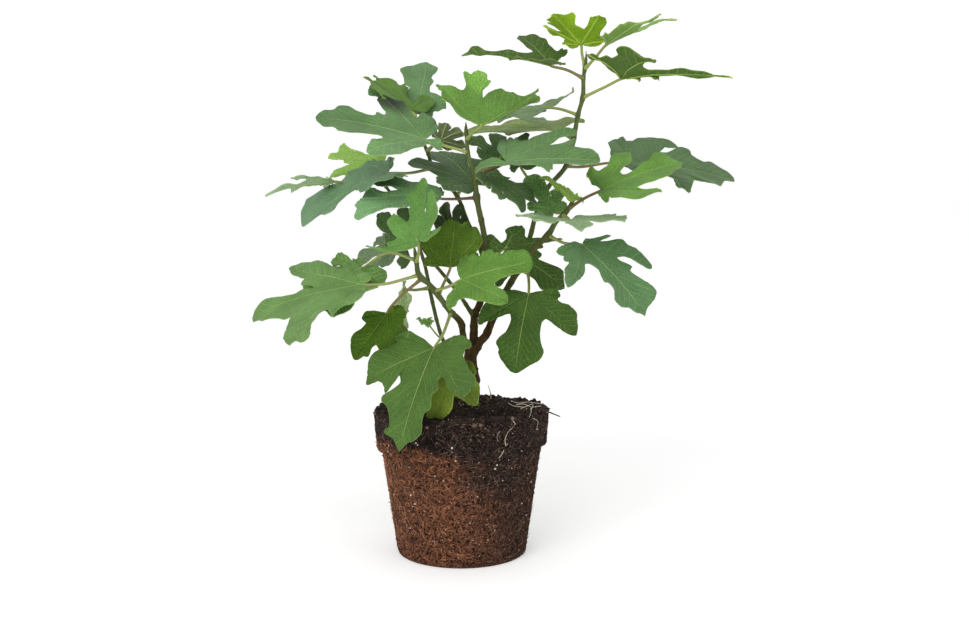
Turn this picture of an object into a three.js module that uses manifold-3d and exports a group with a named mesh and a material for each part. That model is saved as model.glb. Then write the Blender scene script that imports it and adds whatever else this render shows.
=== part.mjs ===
// A young fig plant in a pressed fibre pot: trunk and branches, lobed leaves on their petioles, soil and pot.
// Millimetres, +Z up, origin at the middle of the pot's flat bottom. The front of the plant looks along -Y.

import * as THREE from 'three';
import { mergeVertices } from 'three/addons/utils/BufferGeometryUtils.js';
import Module from 'manifold-3d';

const wasm = await Module();
wasm.setup();

// Driving dimensions of the pot and its soil.
const POT_HEIGHT = 139;
const COLLAR_RADIUS = 82.5;
const COLLAR_HEIGHT = 33;
const COLLAR_STEP = 7;
const COLLAR_FLARE = 2;
const LEDGE_DROP = 3;
const BASE_RADIUS = 61;
const WALL = 3.5;
const FLOOR = 5;
const RIM_LEAN = 0.052;
const RIM_SHOWN = 0.8;
const SOIL_COVER = 2.2;
const SOIL_DEEPEST = 12;
const SOIL_LUMPS = 0.9;
const SOIL_RINGS = [1, 0.94, 0.8, 0.64, 0.46, 0.28, 0.13];
const MOUND = { x: 12, y: 8, height: 8, spread: 26 };
const HOLLOW = { x: 38, y: -46, depth: 10, spread: 10 };
const POT_SIDES = 40;
const SOIL_SIDES = 40;

// Clear space that is kept between two pieces that touch.
const GAP = 0.3;

// Points nearer than this are one point of a solid.
const MERGE_DISTANCE = 1e-4;

// Stems and leaves are placed as they are seen from one point in front of the plant. A seen place is
// [right, down] in the frame of a 969 by 624 picture, and a depth is the distance behind the pot's axis.
const EYE = new THREE.Vector3(21.8, -1330, 413);
const EYE_TILT = THREE.MathUtils.degToRad(7.8);
const FOCAL_LENGTH = 1424;
const PICTURE_CENTRE = new THREE.Vector2(484.5, 312);
const VIEW_RIGHT = new THREE.Vector3(1, 0, 0);
const VIEW_UP = new THREE.Vector3(0, Math.sin(EYE_TILT), Math.cos(EYE_TILT));
const VIEW_AHEAD = new THREE.Vector3(0, Math.cos(EYE_TILT), -Math.sin(EYE_TILT));

// Blade shape, as parts of the length of the middle lobe. Lobes run clockwise as seen, from the petiole.
const BLADE_THICKNESS = 0.8;
const LOBE_ANGLES = [-100, -54, 0, 54, 100].map(THREE.MathUtils.degToRad);
const LOBE_LENGTHS = [0.4, 0.76, 1, 0.76, 0.4];
const LOBE_WIDTHS = [0.42, 0.27, 0.235, 0.27, 0.42];
const LOBE_PROFILE = { inner: [0.68, 1, 0.62], outer: [0.62, 0.95, 0.6] };
const LONGEST_LOBE = 1.15;
const LOBE_ROOM = 0.94;
const BASE_ROOM = 0.08;
const SINUS_DEPTHS = [0.62, 0.44, 0.44, 0.62];
const DEEPEST_SINUS = 0.72;
const MARGIN_STEPS = [0.24, 0.62, 0.88];
const VEIN_STEPS = [0.3, 0.62, 0.86];
const VEIN_START = 0.6;
const LOBE_MIN_ANGLE = THREE.MathUtils.degToRad(26);
const BASAL_LIMIT = THREE.MathUtils.degToRad(153);
const LEAST_FLATNESS = 0.08;
const FIT_ROUNDS = 4;
const FIT_DAMPING = 0.03;
const DROOP = 0.12;
const FOLD = 0.1;

const PETIOLE_RADIUS = { end: 0.3, blade: 1.1, stem: 1.5 };
const PETIOLE_SIDES = 4;
const PETIOLE_INSET = 3;
const PETIOLE_OUTSET = 1;
const PETIOLE_SINK = 0.8;
const STEM_SIDES = 7;
const STEM_SAMPLES = 200;

// Stems: each place is [right, down, depth, radius].
const STEMS = {
  trunk: [[474, 432, 8, 6.4], [474, 398, 8, 6.3], [472.5, 372, 7, 5.9], [472.5, 346, 5, 5.3]],
  right: [[472.5, 354, 5, 5], [479, 343, 3, 4.3], [486, 335, 1, 3.8], [492, 321, -1, 3.5],
    [507, 289, -7, 3.1], [533, 250, -14, 2.8], [548, 235, -18, 2.9], [556, 222, -20, 2.4],
    [566, 212, -22, 2.2], [572, 203, -24, 1.7]],
  tall: [[494, 317, 0, 2.8], [507, 290, 10, 2.7], [520, 262, 18, 2.6], [530, 237, 23, 2.5],
    [536, 214, 26, 2.3], [547, 189, 27, 2.3], [566, 166, 27, 2.3], [573, 142, 24, 2.4],
    [578, 115, 20, 2.1], [583, 96, 16, 2.2], [583.5, 77, 13, 1.9], [585, 68, 11, 1.7],
    [586, 60, 11, 1.6], [586, 50, 11, 0.4]],
  middle: [[472.5, 354, 5, 4.6], [474, 330, 7, 3.8], [474.5, 316, 8, 3.7], [480, 303, 9, 3.3],
    [485, 285, 9, 3.1], [486, 262, 8, 3], [484, 235, 6, 2.8], [477, 200, 0, 2.7],
    [474, 174, -5, 2.4], [467.5, 152, -9, 2.1], [467, 138, -10, 1.9], [466, 130, -10, 2],
    [466, 121, -10, 0.4]],
  left: [[472, 358, 4, 3.8], [466, 346, 1, 3.3], [463, 335, -2, 3.1], [461, 323, -8, 3.3],
    [450, 311, -16, 2.7], [430, 285, -31, 2.4], [419, 275, -38, 2.6], [416.5, 262, -42, 1.9],
    [415, 252, -43, 1.8], [414, 245, -43, 0.4]],
  back: [[485.5, 267, 8, 2.2], [478, 243, 17, 1.9], [468, 222, 25, 1.8], [457, 196, 33, 2],
    [440, 177, 38, 1.6], [432, 165, 40, 1.6], [427, 151, 42, 1.7], [418, 130, 45, 1.3],
    [416, 117, 46, 1.2]],
  twig: [[474.5, 318, 8, 2.6], [463, 300, 11, 2], [452, 285, 14, 1.9], [437, 267, 18, 1.8],
    [424, 250, 23, 1.6], [416, 236, 27, 1.1]],
  thin: [[471, 376, 8, 3.4], [452, 357, 14, 2.2], [443, 340, 18, 2], [438, 325, 21, 1.9],
    [432, 300, 25, 2], [424, 262, 33, 1.8], [409, 221, 44, 1.7], [394, 197, 53, 1.6],
    [378, 178, 60, 1.2]],
};

// Leaves: base is where the petiole meets the blade, depth is its depth, tips are the ends of the five lobes,
// clockwise as seen from the petiole, and petiole lists the places from the base to the named stem.
// under: the lower face is seen. young: a young leaf's brighter green. tilt: degrees between the blade and
// the picture, where the tips don't say it. flip: the blade tilts the other way, its upper face turned down.
// cup and fold lift the blade's ends and its two halves to the upper side, as a part of its length. rise is
// how much higher the cup makes the middle tip's seen place. slim and broad narrow or widen the lobes.
const LEAVES = [
  { name: 'leaf_top_left', stem: 'tall', base: [552, 65.5], depth: -2, fold: 0.45,
    petiole: [[567, 70], [583, 78]], tips: [[566, 62], [510, 60], [462, 53], [518, 37], [569, 47]] },
  { name: 'leaf_top_crown', stem: 'tall', base: [581, 44], depth: 24, under: true, young: true, cup: 0.1,
    petiole: [[582, 54], [585, 68]], tips: [[563, 46], [543, 25], [552, 14], [602, 13], [609, 34]] },
  { name: 'leaf_top_young', stem: 'tall', base: [606, 44.5], depth: -8, under: true, young: true, fold: 0.4,
    petiole: [[595, 58], [585, 69]], tips: [[600, 33], [660, 11], [676, 16], [650, 30], [615, 43]] },
  { name: 'leaf_top_right', stem: 'tall', base: [621, 78.5], depth: 0, under: true, fold: 0.45,
    petiole: [[605, 87], [583, 97]], tips: [[587, 52], [654, 57], [733, 75], [672, 78], [633, 79]] },
  { name: 'leaf_mid_grey', stem: 'tall', base: [545, 107.5], depth: 56, slim: 0.8,
    petiole: [[560, 109], [578, 115]], tips: [[558, 113], [549, 121], [497, 121], [510, 106], [577, 88]] },
  { name: 'leaf_mid_flat', stem: 'tall', base: [556, 129.5], depth: 58, slim: 0.75,
    petiole: [[565, 135], [574, 141]], tips: [[562, 127], [510, 131], [458, 131], [497, 123], [585, 119]] },
  { name: 'leaf_far_right', stem: 'tall', base: [628, 163], depth: 40,
    petiole: [[609, 163], [580, 167], [566, 167]],
    tips: [[610, 138], [679, 144], [735, 180], [692, 187], [640, 171]] },
  { name: 'leaf_right_back', stem: 'tall', base: [520, 165], depth: 40,
    petiole: [[527, 177], [541, 199]], tips: [[510, 169], [498, 143], [525, 133], [537, 137], [540, 160]] },
  { name: 'leaf_right_bright', stem: 'right', base: [601.5, 189.5], depth: -34,
    petiole: [[585, 198], [568, 209]], tips: [[586, 172], [630, 150], [682, 160], [661, 189], [606, 198]] },
  { name: 'leaf_right_folded', stem: 'right', base: [571, 197], depth: -12, young: true,
    petiole: [[572, 200], [573, 203]],
    tips: [[566, 199], [556, 188], [542, 174.5], [566, 188], [583, 198.5]] },
  { name: 'leaf_right_flat', stem: 'right', base: [570, 220], depth: -44,
    petiole: [[568, 218], [563, 215]], tips: [[613, 212], [625, 216.5], [582, 222], [535, 217], [516, 210]] },
  { name: 'leaf_right_dark', stem: 'right', base: [554.5, 211], depth: 8, tilt: 30,
    petiole: [[560, 213], [566, 214]], tips: [[538, 214], [528, 206], [527, 176], [558, 190], [567, 205]] },
  { name: 'leaf_right_low', stem: 'right', base: [583, 245], depth: -30,
    petiole: [[564, 243], [548, 236]], tips: [[593, 236], [654, 265], [647, 313], [571, 284], [557, 250]] },
  { name: 'leaf_centre_dark', stem: 'middle', base: [506, 247.5], depth: 12, tilt: 15,
    petiole: [[498, 254], [486, 266]], tips: [[489, 240], [517, 225], [563, 240], [565, 288], [506, 278]] },
  { name: 'leaf_low_right', stem: 'right', base: [528.5, 293.5], depth: -42, broad: 1.2,
    petiole: [[528, 275], [523, 264]], tips: [[560, 293], [577, 330], [515, 372], [477, 323], [499, 291]] },
  { name: 'leaf_mid_crown', stem: 'middle', base: [481, 125], depth: -26, young: true, cup: 0.6, rise: 26,
    petiole: [[473, 133], [467, 139]], tips: [[457, 88], [437, 83], [477, 69], [539, 89], [501, 90]] },
  { name: 'leaf_mid_right', stem: 'middle', base: [507, 162], depth: -46,
    petiole: [[495, 168], [474, 174]], tips: [[500, 140], [578, 129], [600, 158], [550, 168], [473, 165]] },
  { name: 'leaf_mid_back', stem: 'middle', base: [500, 157], depth: 18, tilt: 45,
    petiole: [[490, 166], [473, 171]], tips: [[477, 149], [468, 138], [496, 133], [522, 144], [524, 160]] },
  { name: 'leaf_mid_left', stem: 'middle', base: [474, 184], depth: 12,
    petiole: [[475, 190], [477, 198]], tips: [[442, 187], [410, 158], [438, 150], [485, 158], [505, 175]] },
  { name: 'leaf_mid_low', stem: 'middle', base: [488, 176], depth: -14,
    petiole: [[482, 176], [475, 178]], tips: [[505, 174], [537, 199], [525, 210], [500, 196], [486, 187]] },
  { name: 'leaf_left_large', stem: 'middle', base: [424, 139], depth: -24,
    petiole: [[442, 145], [467, 152]], tips: [[441, 148], [367, 152], [316, 115], [380, 94], [437, 122]] },
  { name: 'leaf_left_mid', stem: 'middle', base: [440, 198], depth: -2, tilt: 55,
    petiole: [[457, 199], [477, 197]], tips: [[424, 212], [354, 212], [360, 196], [364, 178], [443, 189]] },
  { name: 'leaf_small_brown', stem: 'back', base: [441, 139.5], depth: 36, under: true,
    petiole: [[434, 145], [427, 151]], tips: [[433, 133], [447, 123], [462, 131], [465, 147], [449, 150]] },
  { name: 'leaf_left_long', stem: 'back', base: [388, 173], depth: 2,
    petiole: [[410, 173], [433, 168]], tips: [[407, 175], [360, 189], [300, 223], [368, 158], [393, 157]] },
  { name: 'leaf_upright_grey', stem: 'back', base: [416, 113], depth: 82, broad: 1.5,
    petiole: [[417, 122], [421, 136]], tips: [[385, 103], [368, 90], [421, 62], [447, 105], [432, 115]] },
  { name: 'leaf_upper_folded', stem: 'back', base: [410, 110], depth: 54, young: true,
    petiole: [[414, 114], [416, 119]], tips: [[385, 103], [364, 76], [376, 75], [407, 86], [436, 96]] },
  { name: 'leaf_left_young', stem: 'thin', base: [383, 163], depth: 84, young: true, tilt: 20,
    petiole: [[386, 172], [386, 187]], tips: [[352, 180], [330, 178], [327, 157], [345, 142], [378, 149]] },
  { name: 'leaf_far_left', stem: 'thin', base: [335, 181], depth: 38, under: true, slim: 0.6,
    petiole: [[356, 184], [384, 182]], tips: [[326, 188], [300, 188], [265, 193], [291, 177], [326, 178]] },
  { name: 'leaf_small_under', stem: 'back', base: [463, 188], depth: 36, under: true,
    petiole: [[460, 191], [457, 196]], tips: [[456, 188], [450, 184], [462, 181], [476, 184], [470, 189]] },
  { name: 'leaf_left_crown', stem: 'left', base: [417, 240], depth: -74, young: true, cup: 0.45, broad: 1.25,
    rise: 25, petiole: [[419, 250], [417, 262]],
    tips: [[368, 246], [388, 222], [425, 178], [435, 205], [440, 227]] },
  { name: 'leaf_left_low', stem: 'left', base: [361, 284.5], depth: -46,
    petiole: [[385, 284], [405, 279], [418, 275]],
    tips: [[324, 310], [289, 343], [251, 315], [288, 267], [348, 261]] },
  { name: 'leaf_left_behind', stem: 'left', base: [361, 268], depth: -6,
    petiole: [[388, 253], [414, 261]], tips: [[384, 284], [333, 316], [302, 285], [335, 256], [352, 260]] },
  { name: 'leaf_front_left', stem: 'left', base: [387.5, 313], depth: -20, tilt: 22,
    petiole: [[400, 297], [421, 279]], tips: [[401, 318], [403, 339], [390, 364], [352, 358], [362, 315]] },
  { name: 'leaf_front_low', stem: 'left', base: [434, 347.5], depth: -62,
    petiole: [[443, 334], [451, 312]], tips: [[470, 345], [462, 396], [398, 451], [363, 382], [396, 336]] },
  { name: 'leaf_front_mid', stem: 'left', base: [461, 279.5], depth: -56,
    petiole: [[450, 286], [434, 290]], tips: [[459, 257], [488, 248], [531, 259], [507, 301], [449, 309]] },
  { name: 'leaf_centre_back', stem: 'left', base: [450, 267], depth: -28,
    petiole: [[443, 285], [439, 295]], tips: [[424, 265], [420, 240], [457, 221], [481, 236], [476, 262]] },
  { name: 'leaf_hanging_grey', stem: 'thin', base: [404, 291], depth: 28, under: true, flip: true, slim: 0.6,
    petiole: [[415, 290], [430, 288]], tips: [[409, 310], [404, 332], [386, 350], [393, 312], [406, 282]] },
  { name: 'leaf_low_olive', stem: 'trunk', base: [455, 368], depth: -58,
    petiole: [[462, 362], [470, 358]], tips: [[480, 380], [472, 405], [433, 419], [428, 390], [440, 368]] },
  { name: 'leaf_behind_crown', stem: 'twig', base: [404, 240], depth: 6,
    petiole: [[410, 241], [419, 243]], tips: [[403, 269], [385, 245], [377, 216], [404, 207], [415, 225]] },
  { name: 'leaf_behind_centre', stem: 'back', base: [452, 232], depth: 30,
    petiole: [[459, 236], [470, 233]], tips: [[439, 238], [436, 218], [443, 203], [461, 205], [467, 218]] },
  { name: 'leaf_pale_left', stem: 'thin', base: [396, 243], depth: 30,
    petiole: [[406, 240], [416, 240]], tips: [[386, 266], [367, 272], [354, 261], [374, 244], [388, 229]] },
];

// A short green shoot: its stalk's places are [right, down, depth, radius], as a stem's are.
const YOUNG_SHOOT = {
  stalk: [[443, 340, 18, 1], [437, 335, 10, 0.8], [430, 326, 2, 0.7], [428, 323, 2, 0.6]],
  leaflets: [
    { base: [428, 324], depth: 2, tips: [[427, 326], [421, 323], [417, 318], [424, 319], [428, 321]] },
    { base: [428, 324], depth: 2, tips: [[427, 322], [427, 319], [431, 317], [433, 321], [431, 324]] },
  ],
};

const COLOURS = {
  leaf: 0x4c7a3c,
  youngLeaf: 0x7fae3f,
  bark: 0x4a3826,
  pot: 0x6b4230,
  soil: 0x2a1d19,
};

// The point on the sight line through a seen place that lies at the given depth.
function pointAt(right, down, depth) {
  const sight = VIEW_AHEAD.clone().multiplyScalar(FOCAL_LENGTH)
    .addScaledVector(VIEW_RIGHT, right - PICTURE_CENTRE.x)
    .addScaledVector(VIEW_UP, PICTURE_CENTRE.y - down);
  return EYE.clone().addScaledVector(sight, (depth - EYE.y) / sight.y);
}

// Where a point is seen, as [right, down].
function seenAt(point) {
  const ray = point.clone().sub(EYE);
  const scale = FOCAL_LENGTH / ray.dot(VIEW_AHEAD);
  return [PICTURE_CENTRE.x + scale * ray.dot(VIEW_RIGHT), PICTURE_CENTRE.y - scale * ray.dot(VIEW_UP)];
}

function toSolid(geometry) {
  const bare = geometry.clone();
  bare.deleteAttribute('normal');
  bare.deleteAttribute('uv');
  const merged = mergeVertices(bare, MERGE_DISTANCE);
  const index = [];
  for (let i = 0; i < merged.index.count; i += 3) {
    const corner = [merged.index.getX(i), merged.index.getX(i + 1), merged.index.getX(i + 2)];
    if (new Set(corner).size === 3) index.push(...corner);
  }
  return new wasm.Manifold(new wasm.Mesh({
    numProp: 3,
    vertProperties: new Float32Array(merged.attributes.position.array),
    triVerts: new Uint32Array(index),
  }));
}

function toGeometry(solid) {
  const { vertProperties, triVerts } = solid.getMesh();
  const geometry = new THREE.BufferGeometry();
  geometry.setAttribute('position', new THREE.BufferAttribute(new Float32Array(vertProperties), 3));
  geometry.setIndex(new THREE.BufferAttribute(new Uint32Array(triVerts), 1));
  geometry.computeVertexNormals();
  return geometry;
}

function largestPiece(solid) {
  return solid.decompose().sort((a, b) => b.volume() - a.volume())[0];
}

// A closed tube along a curve through the points, whose radius follows the radii.
function taperedTube(points, radii, sides, stepsPerSpan) {
  const curve = new THREE.CatmullRomCurve3(points, false, 'centripetal');
  const spans = points.length - 1;
  const steps = spans * stepsPerSpan;
  const frames = [];
  let across = new THREE.Vector3(0, 1, 0.3);
  for (let i = 0; i <= steps; i++) {
    const tangent = curve.getTangent(i / steps);
    across = across.clone().addScaledVector(tangent, -across.dot(tangent)).normalize();
    const place = (i / steps) * spans;
    const span = Math.min(Math.floor(place), spans - 1);
    const radius = THREE.MathUtils.lerp(radii[span], radii[span + 1], place - span);
    frames.push({ centre: curve.getPoint(i / steps), across, side: across.clone().cross(tangent), radius });
  }
  const geometry = new THREE.CylinderGeometry(1, 1, 1, sides, steps);
  const position = geometry.attributes.position;
  for (let i = 0; i < position.count; i++) {
    const frame = frames[Math.round((position.getY(i) + 0.5) * steps)];
    const point = frame.centre.clone()
      .addScaledVector(frame.across, position.getX(i) * frame.radius)
      .addScaledVector(frame.side, position.getZ(i) * frame.radius);
    position.setXYZ(i, point.x, point.y, point.z);
  }
  return geometry;
}

function stemTube(places, growth) {
  const points = places.map(([right, down, depth]) => pointAt(right, down, depth));
  const radii = places.map((place) => place[3] + growth);
  return toSolid(taperedTube(points, radii, STEM_SIDES, 1));
}

function joinedStems(growth) {
  return Object.values(STEMS).map((places) => stemTube(places, growth)).reduce((all, tube) => all.add(tube));
}

// The point of a stem's centre line that is seen nearest to a seen place.
function stemPointNear(stem, [right, down]) {
  const curve = new THREE.CatmullRomCurve3(STEMS[stem].map(([x, y, depth]) => pointAt(x, y, depth)), false,
    'centripetal');
  const samples = curve.getPoints(STEM_SAMPLES).map((point) => {
    const [x, y] = seenAt(point);
    return { point, distance: Math.hypot(x - right, y - down) };
  });
  return samples.reduce((best, sample) => (sample.distance < best.distance ? sample : best)).point;
}

// The tip of a typical lobe on a blade of length 1. A slim leaf has its lobes nearer the middle.
function typicalTip(leaf, k) {
  return new THREE.Vector2(Math.sin(LOBE_ANGLES[k]) * (leaf.slim ?? 1), Math.cos(LOBE_ANGLES[k]))
    .multiplyScalar(LOBE_LENGTHS[k]);
}

// A flat blade has its base at 0, 0 and its middle lobe near +y. Its plane is turned so that the typical
// lobes are seen where the tips are, with the upper face looking up.
function bladePose(leaf) {
  const origin = pointAt(...leaf.base, leaf.depth);
  const toEye = EYE.clone().sub(origin).normalize();
  const right = VIEW_RIGHT.clone().addScaledVector(toEye, -VIEW_RIGHT.dot(toEye)).normalize();
  const up = toEye.clone().cross(right);
  const scale = origin.clone().sub(EYE).dot(VIEW_AHEAD) / FOCAL_LENGTH;
  const sums = { xx: 0, xy: 0, yy: 0, rx: 0, ry: 0, ux: 0, uy: 0 };
  leaf.tips.forEach((tip, k) => {
    const { x, y } = typicalTip(leaf, k);
    const r = (tip[0] - leaf.base[0]) * scale;
    const u = (leaf.base[1] - tip[1] - (leaf.rise ?? 0) * LOBE_LENGTHS[k] ** 2) * scale;
    sums.xx += x * x;
    sums.xy += x * y;
    sums.yy += y * y;
    sums.rx += r * x;
    sums.ry += r * y;
    sums.ux += u * x;
    sums.uy += u * y;
  });
  const det = sums.xx * sums.yy - sums.xy * sums.xy;
  const xAxis = new THREE.Vector2(
    (sums.rx * sums.yy - sums.ry * sums.xy) / det,
    (sums.ux * sums.yy - sums.uy * sums.xy) / det,
  );
  const yAxis = new THREE.Vector2(
    (sums.ry * sums.xx - sums.rx * sums.xy) / det,
    (sums.uy * sums.xx - sums.ux * sums.xy) / det,
  );

  // The longest seen direction lies across the sight line and gives the true size. The one at right angles
  // to it is foreshortened by the blade's tilt.
  const turn = 0.5 * Math.atan2(2 * xAxis.dot(yAxis), xAxis.lengthSq() - yAxis.lengthSq());
  const [c, s] = [Math.cos(turn), Math.sin(turn)];
  const long = xAxis.clone().multiplyScalar(c).addScaledVector(yAxis, s);
  const size = long.length();
  const short = xAxis.cross(yAxis) / size;
  const cosTilt = leaf.tilt ? Math.cos(THREE.MathUtils.degToRad(leaf.tilt))
    : THREE.MathUtils.clamp(short / size, LEAST_FLATNESS, 1);
  const along = right.clone().multiplyScalar(long.x / size).addScaledVector(up, long.y / size);
  const flatCross = toEye.clone().cross(along);
  const sinTilt = Math.sqrt(1 - cosTilt * cosTilt);
  const face = leaf.under ? -1 : 1;
  const across = (sign) => flatCross.clone().multiplyScalar(cosTilt).addScaledVector(toEye, sign * sinTilt);
  const looksUp = (sign) => along.clone().cross(across(sign)).z * face > 0;
  const sign = (looksUp(1) ? 1 : -1) * (leaf.flip ? -1 : 1);
  const second = across(sign);
  return {
    origin,
    right,
    up,
    scale,
    size,
    x: along.clone().multiplyScalar(c).addScaledVector(second, -s),
    y: along.clone().multiplyScalar(s).addScaledVector(second, c),
    upper: along.clone().cross(second).multiplyScalar(face),
  };
}

// The bent blade: it folds up along its middle, droops to its tip, and a cupped one rises all round.
function bladePoint(leaf, pose, x, y) {
  const [across, along] = [x / pose.size, y / pose.size];
  const rise = (leaf.cup ?? 0) * (across * across + along * along)
    + (leaf.fold ?? FOLD) * Math.abs(across)
    - (leaf.droop ?? DROOP) * Math.max(along, 0) ** 2;
  return pose.origin.clone()
    .addScaledVector(pose.x, x)
    .addScaledVector(pose.y, y)
    .addScaledVector(pose.upper, rise * pose.size);
}

// The flat places of the lobes' tips: near the typical ones, and seen where the leaf's tips are. Each round
// takes one damped step, with the slopes measured over a millimetre of the bent blade.
function flatTips(leaf, pose) {
  const seenPlace = (x, y) => {
    const [right, down] = seenAt(bladePoint(leaf, pose, x, y));
    return new THREE.Vector2(right * pose.scale, -down * pose.scale);
  };
  const flat = leaf.tips.map((tip, k) => {
    const typical = typicalTip(leaf, k).multiplyScalar(pose.size);
    const target = new THREE.Vector2(tip[0] * pose.scale, -tip[1] * pose.scale);
    const shift = new THREE.Vector2();
    for (let i = 0; i < FIT_ROUNDS; i++) {
      const [x, y] = [typical.x + shift.x, typical.y + shift.y];
      const here = seenPlace(x, y);
      const xSlope = seenPlace(x + 1, y).sub(here);
      const ySlope = seenPlace(x, y + 1).sub(here);
      const miss = target.clone().sub(here).addScaledVector(xSlope, shift.x).addScaledVector(ySlope, shift.y);
      const a = xSlope.lengthSq() + FIT_DAMPING;
      const b = xSlope.dot(ySlope);
      const d = ySlope.lengthSq() + FIT_DAMPING;
      const [p, q] = [miss.dot(xSlope), miss.dot(ySlope)];
      shift.set((d * p - b * q) / (a * d - b * b), (a * q - b * p) / (a * d - b * b));
    }
    return typical.add(shift);
  });
  return orderedLobes(flat);
}

// Lobes keep their order round the base, with a least angle between neighbours.
function orderedLobes(tips) {
  const angles = tips.map((tip) => Math.atan2(tip.x, tip.y));
  const middle = 2;
  for (const side of [-1, 1]) {
    for (let step = 1; step <= 2; step++) {
      const k = middle + side * step;
      const least = angles[k - side] * side + LOBE_MIN_ANGLE;
      let angle = angles[k] * side;
      if (angle < least - Math.PI) angle += 2 * Math.PI;
      const most = BASAL_LIMIT - (2 - step) * LOBE_MIN_ANGLE;
      angles[k] = side * THREE.MathUtils.clamp(angle, least, Math.max(least, most));
    }
  }
  return tips.map((tip, k) => new THREE.Vector2(Math.sin(angles[k]), Math.cos(angles[k]))
    .multiplyScalar(tip.length()));
}

// The sheet of a blade in its flat frame: points and triangles. Each half lobe is a strip between its vein
// and its margin, from the sinus or the base to the tip.
function bladeSheet(tips, size, broad) {
  const points = [new THREE.Vector2(0, 0)];
  const triangles = [];
  const add = (point) => points.push(point) - 1;
  const angleOf = (tip) => Math.atan2(tip.x, tip.y);
  const sinuses = SINUS_DEPTHS.map((depth, k) => {
    const [first, next] = [tips[k], tips[k + 1]];
    const middle = (angleOf(first) + angleOf(next)) / 2;
    const halfAngle = (angleOf(next) - angleOf(first)) / 2;
    const most = DEEPEST_SINUS * Math.min(first.length(), next.length()) / Math.cos(halfAngle);
    const reach = Math.min(depth * (first.length() + next.length()) / 2, most);
    return add(new THREE.Vector2(Math.sin(middle), Math.cos(middle)).multiplyScalar(reach));
  });
  tips.forEach((tip, k) => {
    const length = tip.length();
    const along = tip.clone().normalize();
    const sinusReaches = [sinuses[k - 1], sinuses[k]].filter((sinus) => sinus !== undefined)
      .map((sinus) => points[sinus].dot(along));
    const veinStart = VEIN_START * Math.min(...sinusReaches);
    const veinReaches = VEIN_STEPS.map((step) => veinStart + step * (length - veinStart));
    const vein = [0, ...veinReaches.map((reach) => add(along.clone().multiplyScalar(reach))), add(tip.clone())];
    for (const side of [-1, 1]) {
      const neighbour = tips[k + side];
      const across = new THREE.Vector2(along.y, -along.x).multiplyScalar(side);
      const limit = neighbour
        ? Math.abs(angleOf(neighbour) - angleOf(tip)) / 2
        : Math.PI - Math.abs(angleOf(tip)) - BASE_ROOM;
      const start = neighbour ? sinuses[Math.min(k, k + side)] : 0;
      const startAlong = points[start].dot(along);
      const width = LOBE_WIDTHS[k] * Math.min(length, LONGEST_LOBE * LOBE_LENGTHS[k] * size) * broad;
      const shape = neighbour ? LOBE_PROFILE.inner : LOBE_PROFILE.outer;
      const margin = MARGIN_STEPS.map((step, i) => {
        const reach = startAlong + step * (length - startAlong);
        const room = limit < Math.PI / 2 ? LOBE_ROOM * reach * Math.tan(limit) : Infinity;
        const halfWidth = Math.min(width * shape[i], room);
        return add(along.clone().multiplyScalar(reach).addScaledVector(across, halfWidth));
      });
      const edge = [start, ...margin, vein.at(-1)];
      for (let i = 0; i < vein.length - 1; i++) {
        const halves = [[vein[i], edge[i], edge[i + 1]], [vein[i], edge[i + 1], vein[i + 1]]];
        for (const corners of halves) {
          if (new Set(corners).size === 3) triangles.push(side > 0 ? corners : corners.reverse());
        }
      }
    }
  });
  return { points, triangles };
}

// The closed blade: the bent sheet, offset to both sides by half its thickness.
function bladeGeometry(leaf, pose) {
  const { points, triangles } = bladeSheet(flatTips(leaf, pose), pose.size, leaf.broad ?? 1);
  const sheet = new THREE.BufferGeometry();
  const bent = points.map((point) => bladePoint(leaf, pose, point.x, point.y));
  sheet.setFromPoints(bent);
  sheet.setIndex(triangles.flat());
  sheet.computeVertexNormals();
  const normal = new THREE.Vector3();
  const offset = (sign) => bent.map((point, i) => point.clone()
    .addScaledVector(normal.fromBufferAttribute(sheet.attributes.normal, i), sign * BLADE_THICKNESS / 2));
  const count = points.length;
  const index = triangles.flatMap(([a, b, c]) => [a, b, c, c + count, b + count, a + count]);
  const edges = new Set(triangles.flatMap(([a, b, c]) => [`${a},${b}`, `${b},${c}`, `${c},${a}`]));
  for (const edge of edges) {
    const [a, b] = edge.split(',').map(Number);
    if (!edges.has(`${b},${a}`)) index.push(b, a, a + count, b, a + count, b + count);
  }
  const blade = new THREE.BufferGeometry().setFromPoints([...offset(1), ...offset(-1)]);
  blade.setIndex(index);
  return blade;
}

// The petiole runs from inside the blade's base to the centre of its stem, and is cut short of its bark.
function petioleSolid(leaf, pose, clearance) {
  const end = stemPointNear(leaf.stem, leaf.petiole.at(-1));
  const inside = bladePoint(leaf, pose, 0, PETIOLE_INSET);
  const outside = bladePoint(leaf, pose, 0, -PETIOLE_OUTSET).addScaledVector(pose.upper, -PETIOLE_SINK);
  const bends = leaf.petiole.slice(0, -1).map(([right, down], i) => pointAt(right, down,
    THREE.MathUtils.lerp(leaf.depth, end.y, (i + 1) / leaf.petiole.length)));
  const points = [inside, outside, ...bends, end];
  const radii = points.map((point, i) => THREE.MathUtils.lerp(PETIOLE_RADIUS.blade, PETIOLE_RADIUS.stem,
    i / (points.length - 1)));
  radii[0] = PETIOLE_RADIUS.end;
  return largestPiece(toSolid(taperedTube(points, radii, PETIOLE_SIDES, 1)).subtract(clearance));
}

function leafSolid(leaf, clearance) {
  const pose = bladePose(leaf);
  return toSolid(bladeGeometry(leaf, pose)).add(petioleSolid(leaf, pose, clearance));
}

// The pot leans: its rim is higher on the right.
function leanPot(geometry) {
  const position = geometry.attributes.position;
  for (let i = 0; i < position.count; i++) {
    const lift = RIM_LEAN * position.getX(i) * (position.getZ(i) / POT_HEIGHT);
    position.setZ(i, position.getZ(i) + lift);
  }
  return geometry;
}

function lathe(profile, sides) {
  const points = profile.map(([radius, height]) => new THREE.Vector2(radius, height));
  return new THREE.LatheGeometry(points, sides).rotateX(Math.PI / 2);
}

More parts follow.
